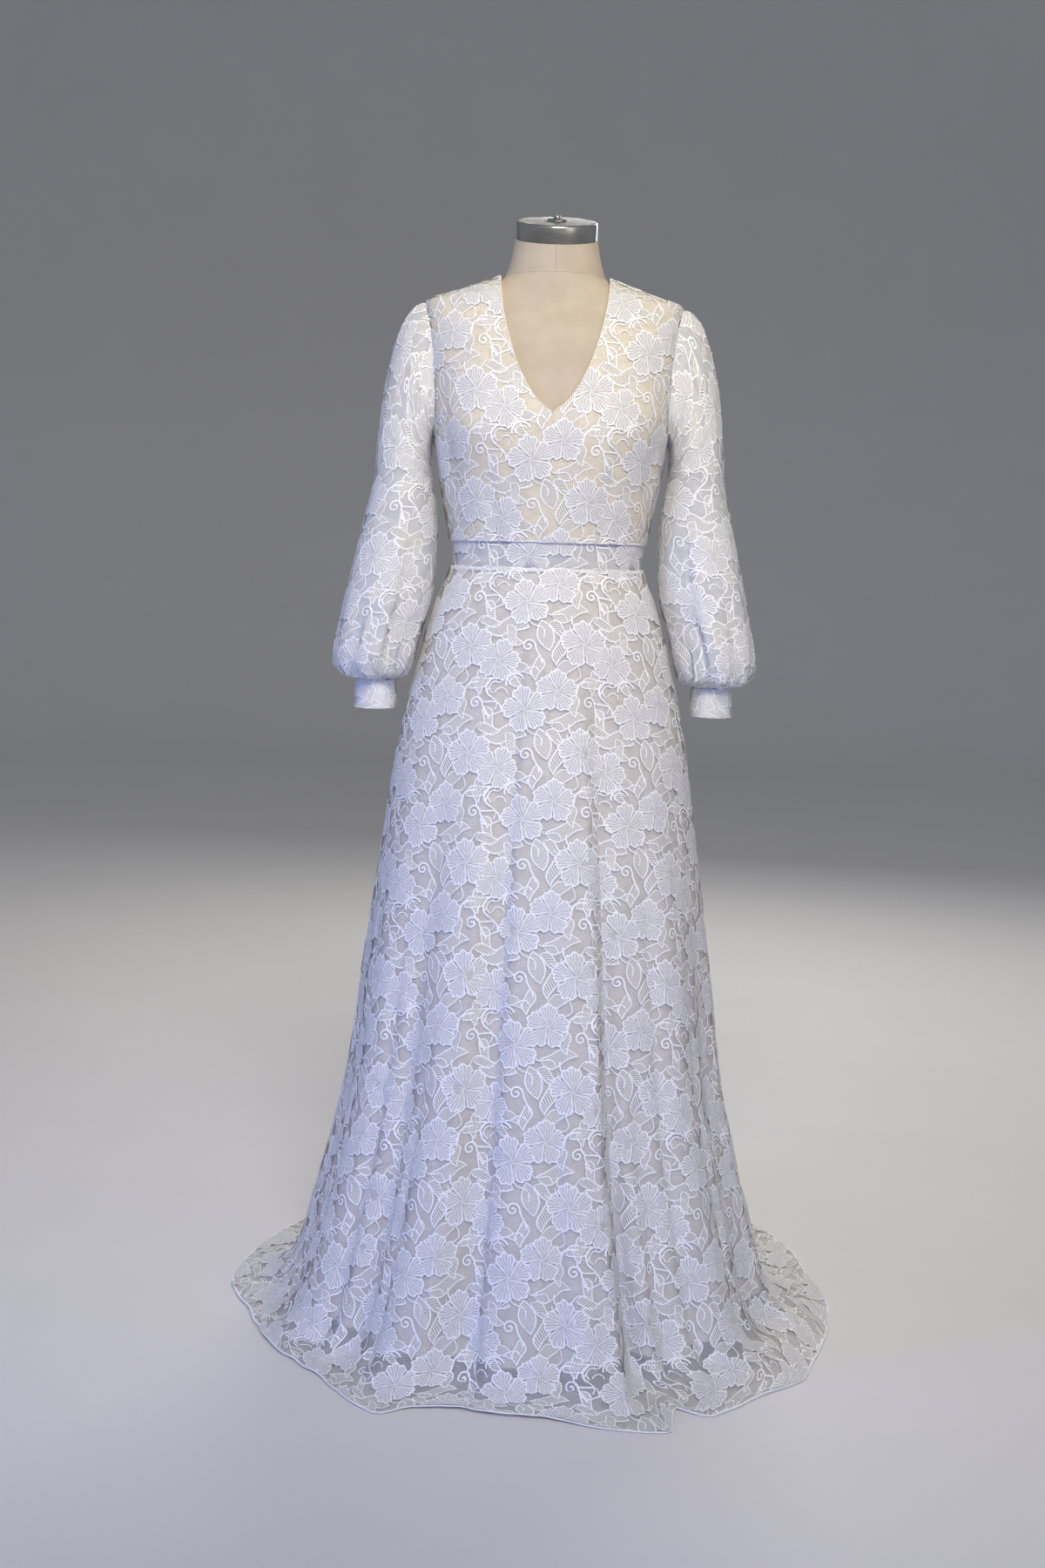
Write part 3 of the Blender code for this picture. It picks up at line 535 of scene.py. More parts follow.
def flat_place(cut, across, down):
    """Flat x and y of a point on the cloth. On a cone they turn round the far point."""
    row, column = fraction(cut["down"], down), fraction(cut["across"], across)
    side = sample(cut["side"], row, column)
    length = np.interp(row, np.arange(len(cut["down"])), cut["length"])
    if cut["apex"] is None:
        return side, length
    radius = cut["apex"] + length
    return radius * np.sin(side / radius), radius * np.cos(side / radius) - cut["apex"]


def cloth_place(cut, x, y):
    """The way back: surface coordinates of flat points, held to the cut's edges, and
    whether each point really lay inside."""
    if cut["apex"] is None:
        side, length = x, y
    else:
        radius = np.hypot(x, y + cut["apex"])
        side, length = radius * np.arctan2(x, y + cut["apex"]), radius - cut["apex"]
    rows = np.arange(len(cut["length"]))
    row = np.interp(length, cut["length"], rows)
    low, high = (np.interp(row, rows, cut["side"][:, end]) for end in (0, -1))
    share = (side - low) / (high - low)
    inside = (share > 0) & (share < 1) & (length > 0) & (length < cut["length"][-1])
    column = np.clip(share, 0.0, 1.0) * (cut["back"].shape[1] - 1)
    return sample(cut["back"], row, column), np.interp(row, rows, cut["down"]), inside


# %% [markdown]
# ## Putting grids into meshes
#
# A sheet is a grid of points with four-cornered faces between them. Each sheet
# carries its flat place as a UV map in metres, so a net or a weave in its material
# follows the cloth through every fold and keeps its real size.

# %% Mesh helpers


def grid_quads(rows, columns, closed=False):
    """Faces of a grid of points, joined round where the grid is a tube."""
    row = np.arange(rows - 1)[:, None]
    column = np.arange(columns if closed else columns - 1)[None, :]
    after = (column + 1) % columns
    corners = (row * columns + column, row * columns + after)
    below = ((row + 1) * columns + after, (row + 1) * columns + column)
    return joined(*corners, *below).reshape(-1, 4)


def looks_in(points, quads, outwards):
    """Which faces look against the outward directions of their corners."""
    corner = points[quads]
    normal = np.cross(corner[:, 2] - corner[:, 0], corner[:, 3] - corner[:, 1])
    return np.sum(normal * outwards[quads].mean(axis=1), axis=-1) < 0


def turned_out(points, quads, outwards):
    """The faces, with those that look inwards turned round."""
    return np.where(looks_in(points, quads, outwards)[:, None], quads[:, ::-1], quads)


def welded(points, quads, uv):
    """One point for each place, and no face that has lost a side of its own."""
    places = np.round(points, 6)
    _, first, index = np.unique(places, axis=0, return_index=True, return_inverse=True)
    quads = index.reshape(-1)[quads]
    whole = (quads != np.roll(quads, 1, axis=1)).all(axis=1)
    return points[first], quads[whole], uv[whole]


def make_piece(name, points, faces, finishes, slot, uv=None, finish_index=None):
    """A smooth mesh object in place, riding on the part's one body."""
    mesh = bpy.data.meshes.new(name)
    mesh.from_pydata(points.reshape(-1, 3), [], faces)
    if uv is not None:
        layer = mesh.uv_layers.new(name="cloth")
        layer.data.foreach_set("uv", np.ascontiguousarray(uv, dtype=np.float32).ravel())
    for finish in finishes:
        mesh.materials.append(finish)
    if finish_index is not None:
        mesh.polygons.foreach_set("material_index", finish_index.astype(np.int32))
    mesh.shade_smooth()
    made = bpy.data.objects.new(name, mesh)
    bpy.context.collection.objects.link(made)
    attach(made, "root")
    return made


def flat_facts(cut, across, down, open_at=None):
    """Width, length and area of the flat cut that a grid of cloth came from."""
    x, y = flat_place(cut, across, down)
    one = np.stack([x[1:, 1:] - x[:-1, :-1], y[1:, 1:] - y[:-1, :-1]])
    two = np.stack([x[1:, :-1] - x[:-1, 1:], y[1:, :-1] - y[:-1, 1:]])
    cells = np.abs(one[0] * two[1] - one[1] * two[0]) / 2
    if open_at is not None:
        cells = np.delete(cells, open_at, axis=1)
    return float(np.ptp(x)), float(np.ptp(y)), float(cells.sum())


def cloth_sheet(name, cut, across, down, out, finish, slot, mirror=1.0, open_at=None):
    """One sheet of cloth over a grid of surface coordinates, `out` from the surface.
    Between two columns it can be left open, as a V neck is."""
    outwards = normals(cut["surface"], across, down)
    points = cut["surface"](across, down) + outwards * out
    x, y = flat_place(cut, across, down)
    quads = grid_quads(*across.shape)
    if open_at is not None:
        rows = quads.reshape(across.shape[0] - 1, -1, 4)
        quads = np.delete(rows, open_at, axis=1).reshape(-1, 4)
    points = points.reshape(-1, 3)
    quads = turned_out(points, quads, outwards.reshape(-1, 3))
    if mirror < 0:
        quads = quads[:, ::-1]
    uv = joined(x.ravel(), y.ravel())[quads]
    points, quads, uv = welded(points * (mirror, 1.0, 1.0), quads, uv)
    return make_piece(name, points, quads.tolist(), [finish], slot, uv)


# %% [markdown]
# ## Finishes
#
# Each finish is a set of shader nodes. Effects that several finishes share are
# node groups with named inputs and outputs: the net, the threads of a motif and a
# weave. A group gives out only numbers, and the Principled BSDF stays in the
# material itself.

# %% Helpers for nodes


def add(tree, kind, inputs, **settings):
    """A new node with its inputs set or linked. Returns the node's outputs."""
    made = tree.nodes.new(kind)
    for name, value in settings.items():
        setattr(made, name, value)
    for socket, value in inputs.items():
        if isinstance(value, bpy.types.NodeSocket):
            tree.links.new(value, made.inputs[socket])
        else:
            made.inputs[socket].default_value = value
    return made.outputs


def calc(tree, operation, *values):
    """One Math node."""
    return add(tree, "ShaderNodeMath", dict(enumerate(values)), operation=operation)[0]


def ramp(tree, value, low, high, bottom=0.0, top=1.0):
    """A smooth step from bottom to top as the value goes from low to high."""
    inputs = {"Value": value, "From Min": low, "From Max": high, "To Min": bottom, "To Max": top}
    return add(tree, "ShaderNodeMapRange", inputs, interpolation_type="SMOOTHSTEP")["Result"]


def blend_colours(tree, share, one, two):
    """A Mix node for colours."""
    made = tree.nodes.new("ShaderNodeMix")
    made.data_type = "RGBA"
    for socket, value in ((made.inputs[0], share), (made.inputs[6], one), (made.inputs[7], two)):
        if isinstance(value, bpy.types.NodeSocket):
            tree.links.new(value, socket)
        else:
            socket.default_value = value
    return made.outputs[2]


def new_group(name, numbers, outputs):
    """An empty node group. It is given a place and numbers, and gives out numbers."""
    tree = bpy.data.node_groups.new(name, "ShaderNodeTree")
    socket = tree.interface.new_socket
    socket("Place", in_out="INPUT", socket_type="NodeSocketVector")
    for label, value in numbers.items():
        socket(label, in_out="INPUT", socket_type="NodeSocketFloat").default_value = value
    for label in outputs:
        socket(label, in_out="OUTPUT", socket_type="NodeSocketFloat")
    return tree, tree.nodes.new("NodeGroupInput").outputs, tree.nodes.new("NodeGroupOutput").inputs


def finish_with(name):
    """A new material: its tree and its Principled shader."""
    made = bpy.data.materials.new(name)
    made.use_nodes = True
    return made, made.node_tree, made.node_tree.nodes["Principled BSDF"]


# %% The net, as a node group
net_group, given, result = new_group(
    "net ground", {"Holes per metre": 400.0, "Thread": 0.18, "Haze": 0.2}, ["Cover", "Height"]
)
work, net_link = partial(calc, net_group), net_group.links.new
cell = {"Vector": given["Place"], "Scale": given["Holes per metre"], "Randomness": 0.45}
edge = add(
    net_group, "ShaderNodeTexVoronoi", cell, voronoi_dimensions="2D", feature="DISTANCE_TO_EDGE"
)["Distance"]
thread = work("SUBTRACT", 1.0, ramp(net_group, edge, 0.0, given["Thread"]))
net_link(work("MAXIMUM", thread, given["Haze"]), result["Cover"])
net_link(thread, result["Height"])

# %% The threads of a motif, as a node group
thread_group, given, result = new_group(
    "motif threads",
    {"Fill": 0.5, "Cord": 1.4, "Teeth": 0.0, "Petals": 0.0},
    ["Cover", "Height"],
)
work, step = partial(calc, thread_group), partial(ramp, thread_group)
thread_link = thread_group.links.new
parts = add(thread_group, "ShaderNodeSeparateXYZ", {0: given["Place"]})
rays, from_edge = parts["X"], parts["Y"]
wave = work("COSINE", work("MULTIPLY", rays, math.tau))
strand = step(work("MULTIPLY_ADD", wave, 0.5, 0.5), 0.25, 0.75)
scallop = work("ABSOLUTE", work("SINE", work("MULTIPLY", rays, math.pi * 0.375)))
notch = work("MULTIPLY", work("SUBTRACT", 1.0, scallop), given["Teeth"])
inwards = work("SUBTRACT", from_edge, notch)
cord_end = work("ADD", given["Cord"], 0.5)
cord = work("SUBTRACT", 1.0, step(inwards, given["Cord"], cord_end))
split = work("PINGPONG", rays, 4.0)
petal_gap = work("SUBTRACT", 1.0, step(split, 0.16, 0.34))
petal_gap = work("MULTIPLY", petal_gap, step(from_edge, 2.0, 5.0))
petal_gap = work("MULTIPLY", petal_gap, given["Petals"])
petal_rim = work("SUBTRACT", 1.0, step(split, 0.60, 0.85))
cord = work("MAXIMUM", cord, work("MULTIPLY", petal_rim, given["Petals"]))
filled = work("MAXIMUM", work("MAXIMUM", strand, given["Fill"]), cord)
kept = work("GREATER_THAN", inwards, 0.0)
open_gap = work("MULTIPLY_ADD", petal_gap, -0.8, 1.0)
raised = work("MAXIMUM", work("MULTIPLY", strand, 0.5), cord)
thread_link(work("MULTIPLY", work("MULTIPLY", filled, kept), open_gap), result["Cover"])
thread_link(work("MULTIPLY", raised, open_gap), result["Height"])

# %% The weave, as a node group
weave_group, given, result = new_group(
    "plain weave", {"Threads per metre": 1400.0}, ["Height", "Shade"]
)
work, weave_link = partial(calc, weave_group), weave_group.links.new
sizes = {0: given["Place"], "Scale": given["Threads per metre"]}
scaled = add(weave_group, "ShaderNodeVectorMath", sizes, operation="SCALE")[0]
axes = add(weave_group, "ShaderNodeSeparateXYZ", {0: scaled})
warp, weft = (work("SINE", work("MULTIPLY", axes[axis], math.pi)) for axis in "XZ")
weave_link(work("MULTIPLY_ADD", work("MULTIPLY", warp, weft), 0.5, 0.5), result["Height"])
slubs = {"Vector": given["Place"], "Scale": 34.0, "Detail": 5.0}
weave_link(add(weave_group, "ShaderNodeTexNoise", slubs)["Fac"], result["Shade"])

print("node groups:", [group.name for group in bpy.data.node_groups])

# %% [markdown]
# ### Lace
#
# The net is mostly air, so its material is see-through between its threads. The
# flowers are nearly solid with fine rays, the leaves are hatched and let the ground
# show, and every motif has a thick cord round its edge.

# %% The lace finishes
CORD_WHITE = (0.88, 0.875, 0.86, 1.0)
# The petals' base is darker than their cord: painted shade in the low parts between the raised rays
# and cords.
PAINTED_SHADE_WHITE = (0.68, 0.67, 0.655, 1.0)
LEAF_WHITE = (0.72, 0.69, 0.61, 1.0)


def finish_cloth(tree, shader, colour, relief, roughness, cover=None):
    """Join a cloth's colour, relief and cover to its shader. The relief is a bump's
    height, its strength and its depth in metres."""
    height, strength, depth = relief
    tree.links.new(colour, shader.inputs["Base Color"])
    if cover is not None:
        tree.links.new(cover, shader.inputs["Alpha"])
    bump = add(tree, "ShaderNodeBump", {"Strength": strength, "Distance": depth, "Height": height})
    tree.links.new(bump["Normal"], shader.inputs["Normal"])
    shader.inputs["Roughness"].default_value = roughness


def net_finish(name, colour, haze):
    """Fine net: its threads are seen, and what lies behind shows in its holes."""
    made, tree, shader = finish_with(name)
    place = add(tree, "ShaderNodeUVMap", {}, uv_map="cloth")["UV"]
    net = add(tree, "ShaderNodeGroup", {"Place": place, "Haze": haze}, node_tree=net_group)
    patch = add(tree, "ShaderNodeTexNoise", {"Vector": place, "Scale": 55.0, "Detail": 3.0})["Fac"]
    darker = tuple(0.86 * value for value in colour[:3]) + (1.0,)
    patched = blend_colours(tree, ramp(tree, patch, 0.35, 0.65), darker, colour)
    finish_cloth(tree, shader, patched, (net["Height"], 0.4, 0.0003), 0.8, net["Cover"])
    return made


def thread_finish(name, base, line_colour, **amounts):
    """Motif threads: rays or hatching between a raised cord, on the motif's own UV."""
    made, tree, shader = finish_with(name)
    place = add(tree, "ShaderNodeUVMap", {}, uv_map="cloth")["UV"]
    threads = add(tree, "ShaderNodeGroup", {"Place": place, **amounts}, node_tree=thread_group)
    # Colour follows the relief: low parts take the base colour and raised threads the line colour.
    # On the petals this is painted shade between the raised rays and cords.
    colour = blend_colours(tree, threads["Height"], base, line_colour)
    finish_cloth(tree, shader, colour, (threads["Height"], 0.8, 0.0006), 0.62, threads["Cover"])
    return made


net_lined = net_finish("lace net over lining", (0.70, 0.685, 0.655, 1.0), 0.34)
net_bodice = net_finish("bodice net", (0.80, 0.77, 0.68, 1.0), 0.32)
net_sheer = net_finish("sheer lace net", (0.75, 0.75, 0.74, 1.0), 0.66)
net_dense = net_finish("dense cuff lace", (0.84, 0.84, 0.83, 1.0), 0.85)
# The petals' darker base under their raised threads is painted shade.
petals = thread_finish(
    "petal threads", PAINTED_SHADE_WHITE, CORD_WHITE, Fill=0.70, Cord=2.1, Teeth=2.6, Petals=1.0
)
leaves = thread_finish("leaf threads", LEAF_WHITE, CORD_WHITE, Fill=0.30, Cord=1.9)
cords = thread_finish("lace cord", CORD_WHITE, CORD_WHITE, Fill=1.0, Cord=6.0)
LACE = [petals, leaves, cords]

# %% [markdown]
# ### Lining, form and metal
#
# The lining is champagne satin, the form has a beige cotton cover with a seam down
# its front, the cap is polished and the hidden stand is painted.

# %% The other finishes


def woven_finish(name, colour, darker, roughness, density, depth):
    """Woven cloth: a plain weave as bump, and slubs that shift its colour."""
    made, tree, shader = finish_with(name)
    place = add(tree, "ShaderNodeTexCoord", {})["Object"]
    inputs = {"Place": place, "Threads per metre": density}
    weave = add(tree, "ShaderNodeGroup", inputs, node_tree=weave_group)
    colour = blend_colours(tree, ramp(tree, weave["Shade"], 0.3, 0.7), darker, colour)
    finish_cloth(tree, shader, colour, (weave["Height"], 0.6, depth), roughness)
    return made


def metal_finish(name, colour, metallic, low, high, stretch):
    """Metal or paint: its roughness changes along fine brushed lines."""
    made, tree, shader = finish_with(name)
    place = add(tree, "ShaderNodeTexCoord", {})["Object"]
    moved = add(tree, "ShaderNodeMapping", {"Vector": place, "Scale": stretch})["Vector"]
    grain = add(tree, "ShaderNodeTexNoise", {"Vector": moved, "Scale": 60.0, "Detail": 4.0})["Fac"]
    tree.links.new(ramp(tree, grain, 0.3, 0.7, low, high), shader.inputs["Roughness"])
    shader.inputs["Base Color"].default_value = colour
    shader.inputs["Metallic"].default_value = metallic
    return made


lining_satin = woven_finish(
    "champagne lining", (0.76, 0.70, 0.61, 1.0), (0.72, 0.66, 0.57, 1.0), 0.5, 2600.0, 0.00006
)
lining_satin.node_tree.nodes["Principled BSDF"].inputs["Sheen Weight"].default_value = 0.1
bodice_satin = woven_finish(
    "champagne bodice lining",
    (0.84, 0.75, 0.57, 1.0), (0.80, 0.71, 0.53, 1.0), 0.5, 2600.0, 0.00006,
)
form_cotton = woven_finish(
    "form cover", (0.53, 0.455, 0.35, 1.0), (0.48, 0.41, 0.31, 1.0), 0.85, 1300.0, 0.00015
)
chrome = metal_finish("polished cap", (0.50, 0.49, 0.46, 1.0), 1.0, 0.22, 0.34, (1.0, 1.0, 30.0))
cap_disc = metal_finish("satin disc", (0.17, 0.165, 0.155, 1.0), 1.0, 0.45, 0.58, (1.0, 1.0, 1.0))
stand_paint = metal_finish("stand paint", (0.25, 0.25, 0.26, 1.0), 0.0, 0.30, 0.42, (4.0, 4.0, 4.0))

for node in ("stand_pole", "stand_base"):
    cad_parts[node].data.materials.clear()
    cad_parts[node].data.materials.append(stand_paint)
print("finishes:", len(bpy.data.materials))

# %% [markdown]
# ## The motifs
#
# The pattern is an ordinary floral one: pairs of full flowers, with hatched leaves,
# curls and long waved cords between them. Each motif is drawn once, flat and one
# unit in size, with a few dozen faces. Its UV holds what its threads need: how far
# along the rays a point is, and how far from the motif's edge in millimetres.

# %% Draw the motifs


def flower(size):
    """Five petals: the edge's radius repeats four values per petal, and two rings
    join the centre to the edge. Forty rays are counted round the centre, and the
    finish cuts the small scallops between them."""
    lobes = np.array([0.80, 0.97, 1.03, 0.97])
    count = 5 * len(lobes)
    angle = np.arange(count + 1) / count * math.tau
    edge = lobes[np.arange(count + 1) % len(lobes)]
    share = np.array([0.0, 0.62, 1.0])[:, None]
    radius = share * (share * edge + (1 - share) * 0.92)
    height = np.array([0.9, 1.5, 0.9])[:, None]
    points = joined(radius * np.cos(angle), radius * np.sin(angle), height)
    return points, joined(angle / math.tau * 40.0, (1 - share) * edge * size), 0


def leaf(size, width, bend, belly, columns):
    """Pointed leaf: half its width is sin(pi * t^p), with p chosen so that it is
    widest at the belly, and its spine is bent into an S. The hatching leans."""
    t = np.linspace(0.0, 1.0, columns)
    half = width / 2 * np.sin(math.pi * t ** (math.log(0.5) / math.log(belly))) ** 0.85
    side = np.array([-1.0, 0.0, 1.0])[:, None]
    height = np.array([0.5, 1.0, 0.5])[:, None]
    points = joined(t - 0.5, bend * np.sin(math.tau * t) + side * half, height)
    hatch = (t * size + 0.9 * side * half * size) / 3.6
    return points, joined(hatch, (1 - np.abs(side)) * half * size), 1


def run_along(path):
    """How far along a path each of its points is."""
    return np.concatenate([[0.0], np.cumsum(np.linalg.norm(np.diff(path, axis=0), axis=-1))])


def ribbon(path, width, size):
    """A cord along a flat path: points on both sides of it, and a raised middle."""
    along = np.gradient(path, axis=0)
    sideways = np.stack([-along[:, 1], along[:, 0]], axis=-1)
    sideways = sideways / np.linalg.norm(sideways, axis=-1)[:, None]
    side = np.array([-0.5, 0.0, 0.5])[:, None, None]
    flat = path + side * sideways * width / size
    height = np.array([0.4, 1.3, 0.4])[:, None]
    twist = run_along(path) * size / 1.6
    from_edge = (0.5 - np.abs(side[..., 0])) * width
    return joined(flat[..., 0], flat[..., 1], height), joined(twist, from_edge), 2


def curl_path(turns, count, tail, bend):
    """A spiral whose radius grows with its angle, and a stalk that leaves along its
    end and bends outwards in half a cosine wave."""
    t = np.linspace(0.0, 1.0, count) ** 0.8
    angle, radius = t * turns * math.tau, 0.12 + 0.88 * t
    spiral = joined(radius * np.cos(angle), radius * np.sin(angle))
    outwards = np.array([math.cos(angle[-1]), math.sin(angle[-1])])
    onwards = np.array([-outwards[1], outwards[0]])
    s = np.linspace(0.0, 1.0, 7)[1:, None]
    stalk = spiral[-1] + onwards * s * tail + outwards * bend * (1 - np.cos(s * math.pi)) / 2
    return np.concatenate([spiral, stalk])


def wave_path(swing, count):
    """One full wave, a unit long."""
    t = np.linspace(0.0, 1.0, count)
    return joined(t - 0.5, swing * np.sin(math.tau * t))


def arc_path(half_angle, count):
    """Part of a circle of radius one."""
    t = np.linspace(-half_angle, half_angle, count)
    return joined(np.cos(t), np.sin(t))


MOTIFS = {
    "flower": flower(33.0),
    "leaf": leaf(60.0, 0.40, 0.085, 0.42, 11),
    "small_leaf": leaf(38.0, 0.46, -0.07, 0.42, 9),
    "diamond": leaf(46.0, 0.54, 0.0, 0.5, 9),
    "curl": ribbon(curl_path(1.4, 15, 2.6, 1.0), 2.6, 10.0),
    "wave": ribbon(wave_path(0.15, 11), 2.4, 50.0),
    "arc": ribbon(arc_path(1.45, 8), 2.3, 12.0),
}
print({name: len(grid_quads(*points.shape[:2])) for name, (points, _, _) in MOTIFS.items()})

# %% [markdown]
# ## The repeat
#
# Every 158 mm across and 150 mm down the lace repeats two pairs of flowers, one
# leaning up to the right and one down to the right, set half a step apart. Leaves,
# curls and cords fill the ground between. The charts below were set one by one. A
# row gives a motif, its place, its turn in degrees and its size. Lengths are in
# millimetres, and y runs down the cloth.

# %% The two charts, and how they repeat


def chart(text):
    """Rows of a motif's name and four numbers, from a text with a line for each."""
    rows = (line.split() for line in text.strip().splitlines())
    return [(motif, *map(float, numbers)) for motif, *numbers in rows]


REPEAT_ACROSS, REPEAT_DOWN, HALF_DROP = 158.0, 150.0, 0.54
RELIEF, LAYER = 0.55, 0.05  # share of a motif's own height, and one motif over the last
LEAST_FACE = 1e-7  # twice the area, in square metres, under which a face is dropped
RISING_PAIR = chart("""
    leaf -49 47 184 64
    leaf 38 27 -8 54
    diamond 5 60 74 46
    small_leaf 73 -27 -20 38
    small_leaf 86 22 62 34
    small_leaf -38 -27 30 30
    wave 55 49 50 46
    wave -62 18 20 40
    wave 52 -44 110 34
    curl 67 1 215 9.5
    arc -62 -18 200 9
    arc -62 -18 200 14
    arc 30 49 60 8
    small_leaf 46 6 78 34
    small_leaf -40 66 16 34
    wave 40 66 96 34
    wave -20 -42 12 40
    wave 91 -4 78 34
    flower 22 -13 20 30
    flower -21 13 5 33.5
""")
FALLING_PAIR = chart("""
    leaf 47 24 30 44
    small_leaf -6 41 84 36
    small_leaf 74 25 96 36
    leaf -52 28 160 48
    small_leaf 8 -42 8 34
    small_leaf -56 -30 32 34
    wave -30 58 -38 56
    wave 8 70 42 44
    wave 72 -34 60 38
    curl 61 -6 215 9.5
    arc 44 46 250 8.5
    arc 44 46 250 13.5
    arc 24 60 275 8.5
    arc -38 42 140 9
    small_leaf -55 2 100 40
    small_leaf 38 -22 64 32
    wave 30 36 -20 34
    wave -12 -44 -14 36
    wave -60 -50 30 34
    flower 20 12 40 30
    flower -21 -11 12 33.5
""")
CHARTS = ((RISING_PAIR, 0.0, 0.0), (FALLING_PAIR, 0.5, HALF_DROP))


def repeats(low_x, high_x, low_y, high_y, start_x, start_y):
    """Centres of one chart over a flat rectangle, one step past it all round."""

    def steps(low, high, start, repeat):
        return np.arange(math.floor((low - start) / repeat) - 1, (high - start) / repeat + 2)

    columns = steps(low_x, high_x, start_x, REPEAT_ACROSS)
    rows = steps(low_y, high_y, start_y, REPEAT_DOWN)
    column, row = np.meshgrid(columns, rows)
    return start_x + column.ravel() * REPEAT_ACROSS, start_y + row.ravel() * REPEAT_DOWN


def every_motif(cut, start, scale):
    """Each row of the charts, with the centres of its copies and its layer."""
    x, y = flat_place(cut, *np.meshgrid(cut["across"], cut["down"]))
    box = [value * 1000 / scale for value in (x.min(), x.max(), y.min(), y.max())]
    for rows, aside, below in CHARTS:
        corner = start[0] + aside * REPEAT_ACROSS, start[1] + below * REPEAT_DOWN
        for number, row in enumerate(rows):
            yield *row, *repeats(*box, *corner), number * LAYER


def lace_motifs(name, cut, start, out, slot, trim=None, mirror=1.0, scale=1.0):
    """All the motifs on one cloth. Each is turned, sized and moved in the flat, laid
    on the surface, and lifted off it by its relief. Where a motif crosses the
    cloth's edge, its points are drawn back to the edge, as if it had been cut."""
    made, count = [], 0
    for motif, x, y, turn, size, centre_x, centre_y, layer in every_motif(cut, start, scale):
        shape, uv, finish = MOTIFS[motif]
        local = shape.reshape(-1, 3)
        cosine, sine = math.cos(math.radians(turn)), math.sin(math.radians(turn))
        flat_x = (local[:, 0] * cosine - local[:, 1] * sine) * size + x
        flat_y = (local[:, 0] * sine + local[:, 1] * cosine) * size + y
        flat_x = (flat_x + centre_x[:, None]) * scale / 1000
        flat_y = (flat_y + centre_y[:, None]) * scale / 1000
        across, down, inside = cloth_place(cut, flat_x, flat_y)
        if trim is not None:
            across, down, kept = trim(across, down)
            inside &= kept
        used = inside.any(axis=1)
        across, down, inside = across[used], down[used], inside[used]
        outwards = normals(cut["surface"], across, down)
        lift = out + (local[:, 2] * RELIEF + layer) / 1000
        points = cut["surface"](across, down) + outwards * lift[:, None]
        quads, copies = grid_quads(*shape.shape[:2]), len(points)
        faces = (quads[None] + np.arange(copies)[:, None, None] * len(local)).reshape(-1, 4)
        points, outwards = points.reshape(-1, 3), outwards.reshape(-1, 3)
        corner = points[faces]
        doubled = np.cross(corner[:, 2] - corner[:, 0], corner[:, 3] - corner[:, 1])
        good = inside.reshape(-1)[faces].any(axis=1)
        good &= np.linalg.norm(doubled, axis=-1) > LEAST_FACE
        face_uv = np.tile(uv.reshape(-1, 2)[quads], (copies, 1, 1))
        faces, face_uv = faces[good], face_uv[good]
        wrong = looks_in(points, faces, outwards) ^ (mirror < 0)
        faces[wrong], face_uv[wrong] = faces[wrong][:, ::-1], face_uv[wrong][:, ::-1]
        points = points * (mirror, 1.0, 1.0)
        made.append((points, faces + count, face_uv, np.full(len(faces), finish)))
        count += len(points)
    points, quads, uv, finish = (np.concatenate(part) for part in zip(*made))
    used, index = np.unique(quads, return_inverse=True)
    print(name, len(quads), "faces")
    return make_piece(name, points[used], index.reshape(-1, 4).tolist(), LACE, slot, uv, finish)


# %% [markdown]
# ## Edges and seams
#
# A cut edge of lace is turned under or bound, and a seam shows as a narrow ridge.
# Both are a slim tube pressed flat, swept along a path on the cloth.

# %% Sweep a narrow tube along an edge
AROUND_TUBE = 8


def edging(name, path, outwards, size, finish, slot, closed=False):
    """Flattened tube: at each point of the path an oval is drawn with one axis along
    the outward direction and the other across the path. Its size is both axes."""
    if closed:
        along = np.roll(path, -1, axis=0) - np.roll(path, 1, axis=0)
    else:
        along = np.gradient(path, axis=0)
    across = np.cross(outwards, along)
    across = across / np.linalg.norm(across, axis=-1)[:, None]
    height, width = size
    turn = np.arange(AROUND_TUBE) / AROUND_TUBE * math.tau
    up = outwards[:, None, :] * (np.cos(turn) * height / 2)[None, :, None]
    aside = across[:, None, :] * (np.sin(turn) * width / 2)[None, :, None]
    points = (path[:, None, :] + up + aside).reshape(-1, 3)
    quads = grid_quads(len(path) + closed, AROUND_TUBE, closed=True) % len(points)
    centre = np.repeat(path, AROUND_TUBE, axis=0)
    faces = turned_out(points, quads, points - centre).tolist()
    if not closed:
        first = list(range(AROUND_TUBE))
        faces += [first, [len(points) - AROUND_TUBE + corner for corner in first]]
    corner = np.array([index for face in faces for index in face])
    run = run_along(path)[corner // AROUND_TUBE]
    uv = joined(run, corner % AROUND_TUBE / AROUND_TUBE * 0.006)
    return make_piece(name, points, faces, [finish], slot, uv)


# %% [markdown]
# ## Dress form
#
# The form is a padded torso in a cotton cover with raised seams, and its neck leans
# forwards under a polished cap. Both are made again here with finer rings, because
# the solids' flat facets would show on the bare chest and the bright metal. The
# cap's band is polished, and its top is a satin disc with a small knob.

# %% Torso and cap


def closed_rings(name, points, finish, slot):
    """A closed solid from rings of points, with a flat lid on the first and last."""
    rings, around = points.shape[:2]
    centres = points[[0, -1]].mean(axis=1)
    outwards = (points - points.mean(axis=1, keepdims=True)).reshape(-1, 3)
    points = points.reshape(-1, 3)
    faces = turned_out(points, grid_quads(rings, around, closed=True), outwards).tolist()
    turn, count = np.arange(around), len(points)
    points = np.concatenate([points, centres])
    for start, centre, up in ((0, count, -1.0), (count - around, count + 1, 1.0)):
        lid = joined(start + turn, start + (turn + 1) % around, centre)
        a, b, c = points[lid[0]]
        faces += (lid if np.cross(b - a, c - a)[2] * up > 0 else lid[:, ::-1]).tolist()
    made = make_piece(name, points, faces, [finish], slot)
    made.data.set_sharp_from_angle(angle=math.radians(40))
    return made


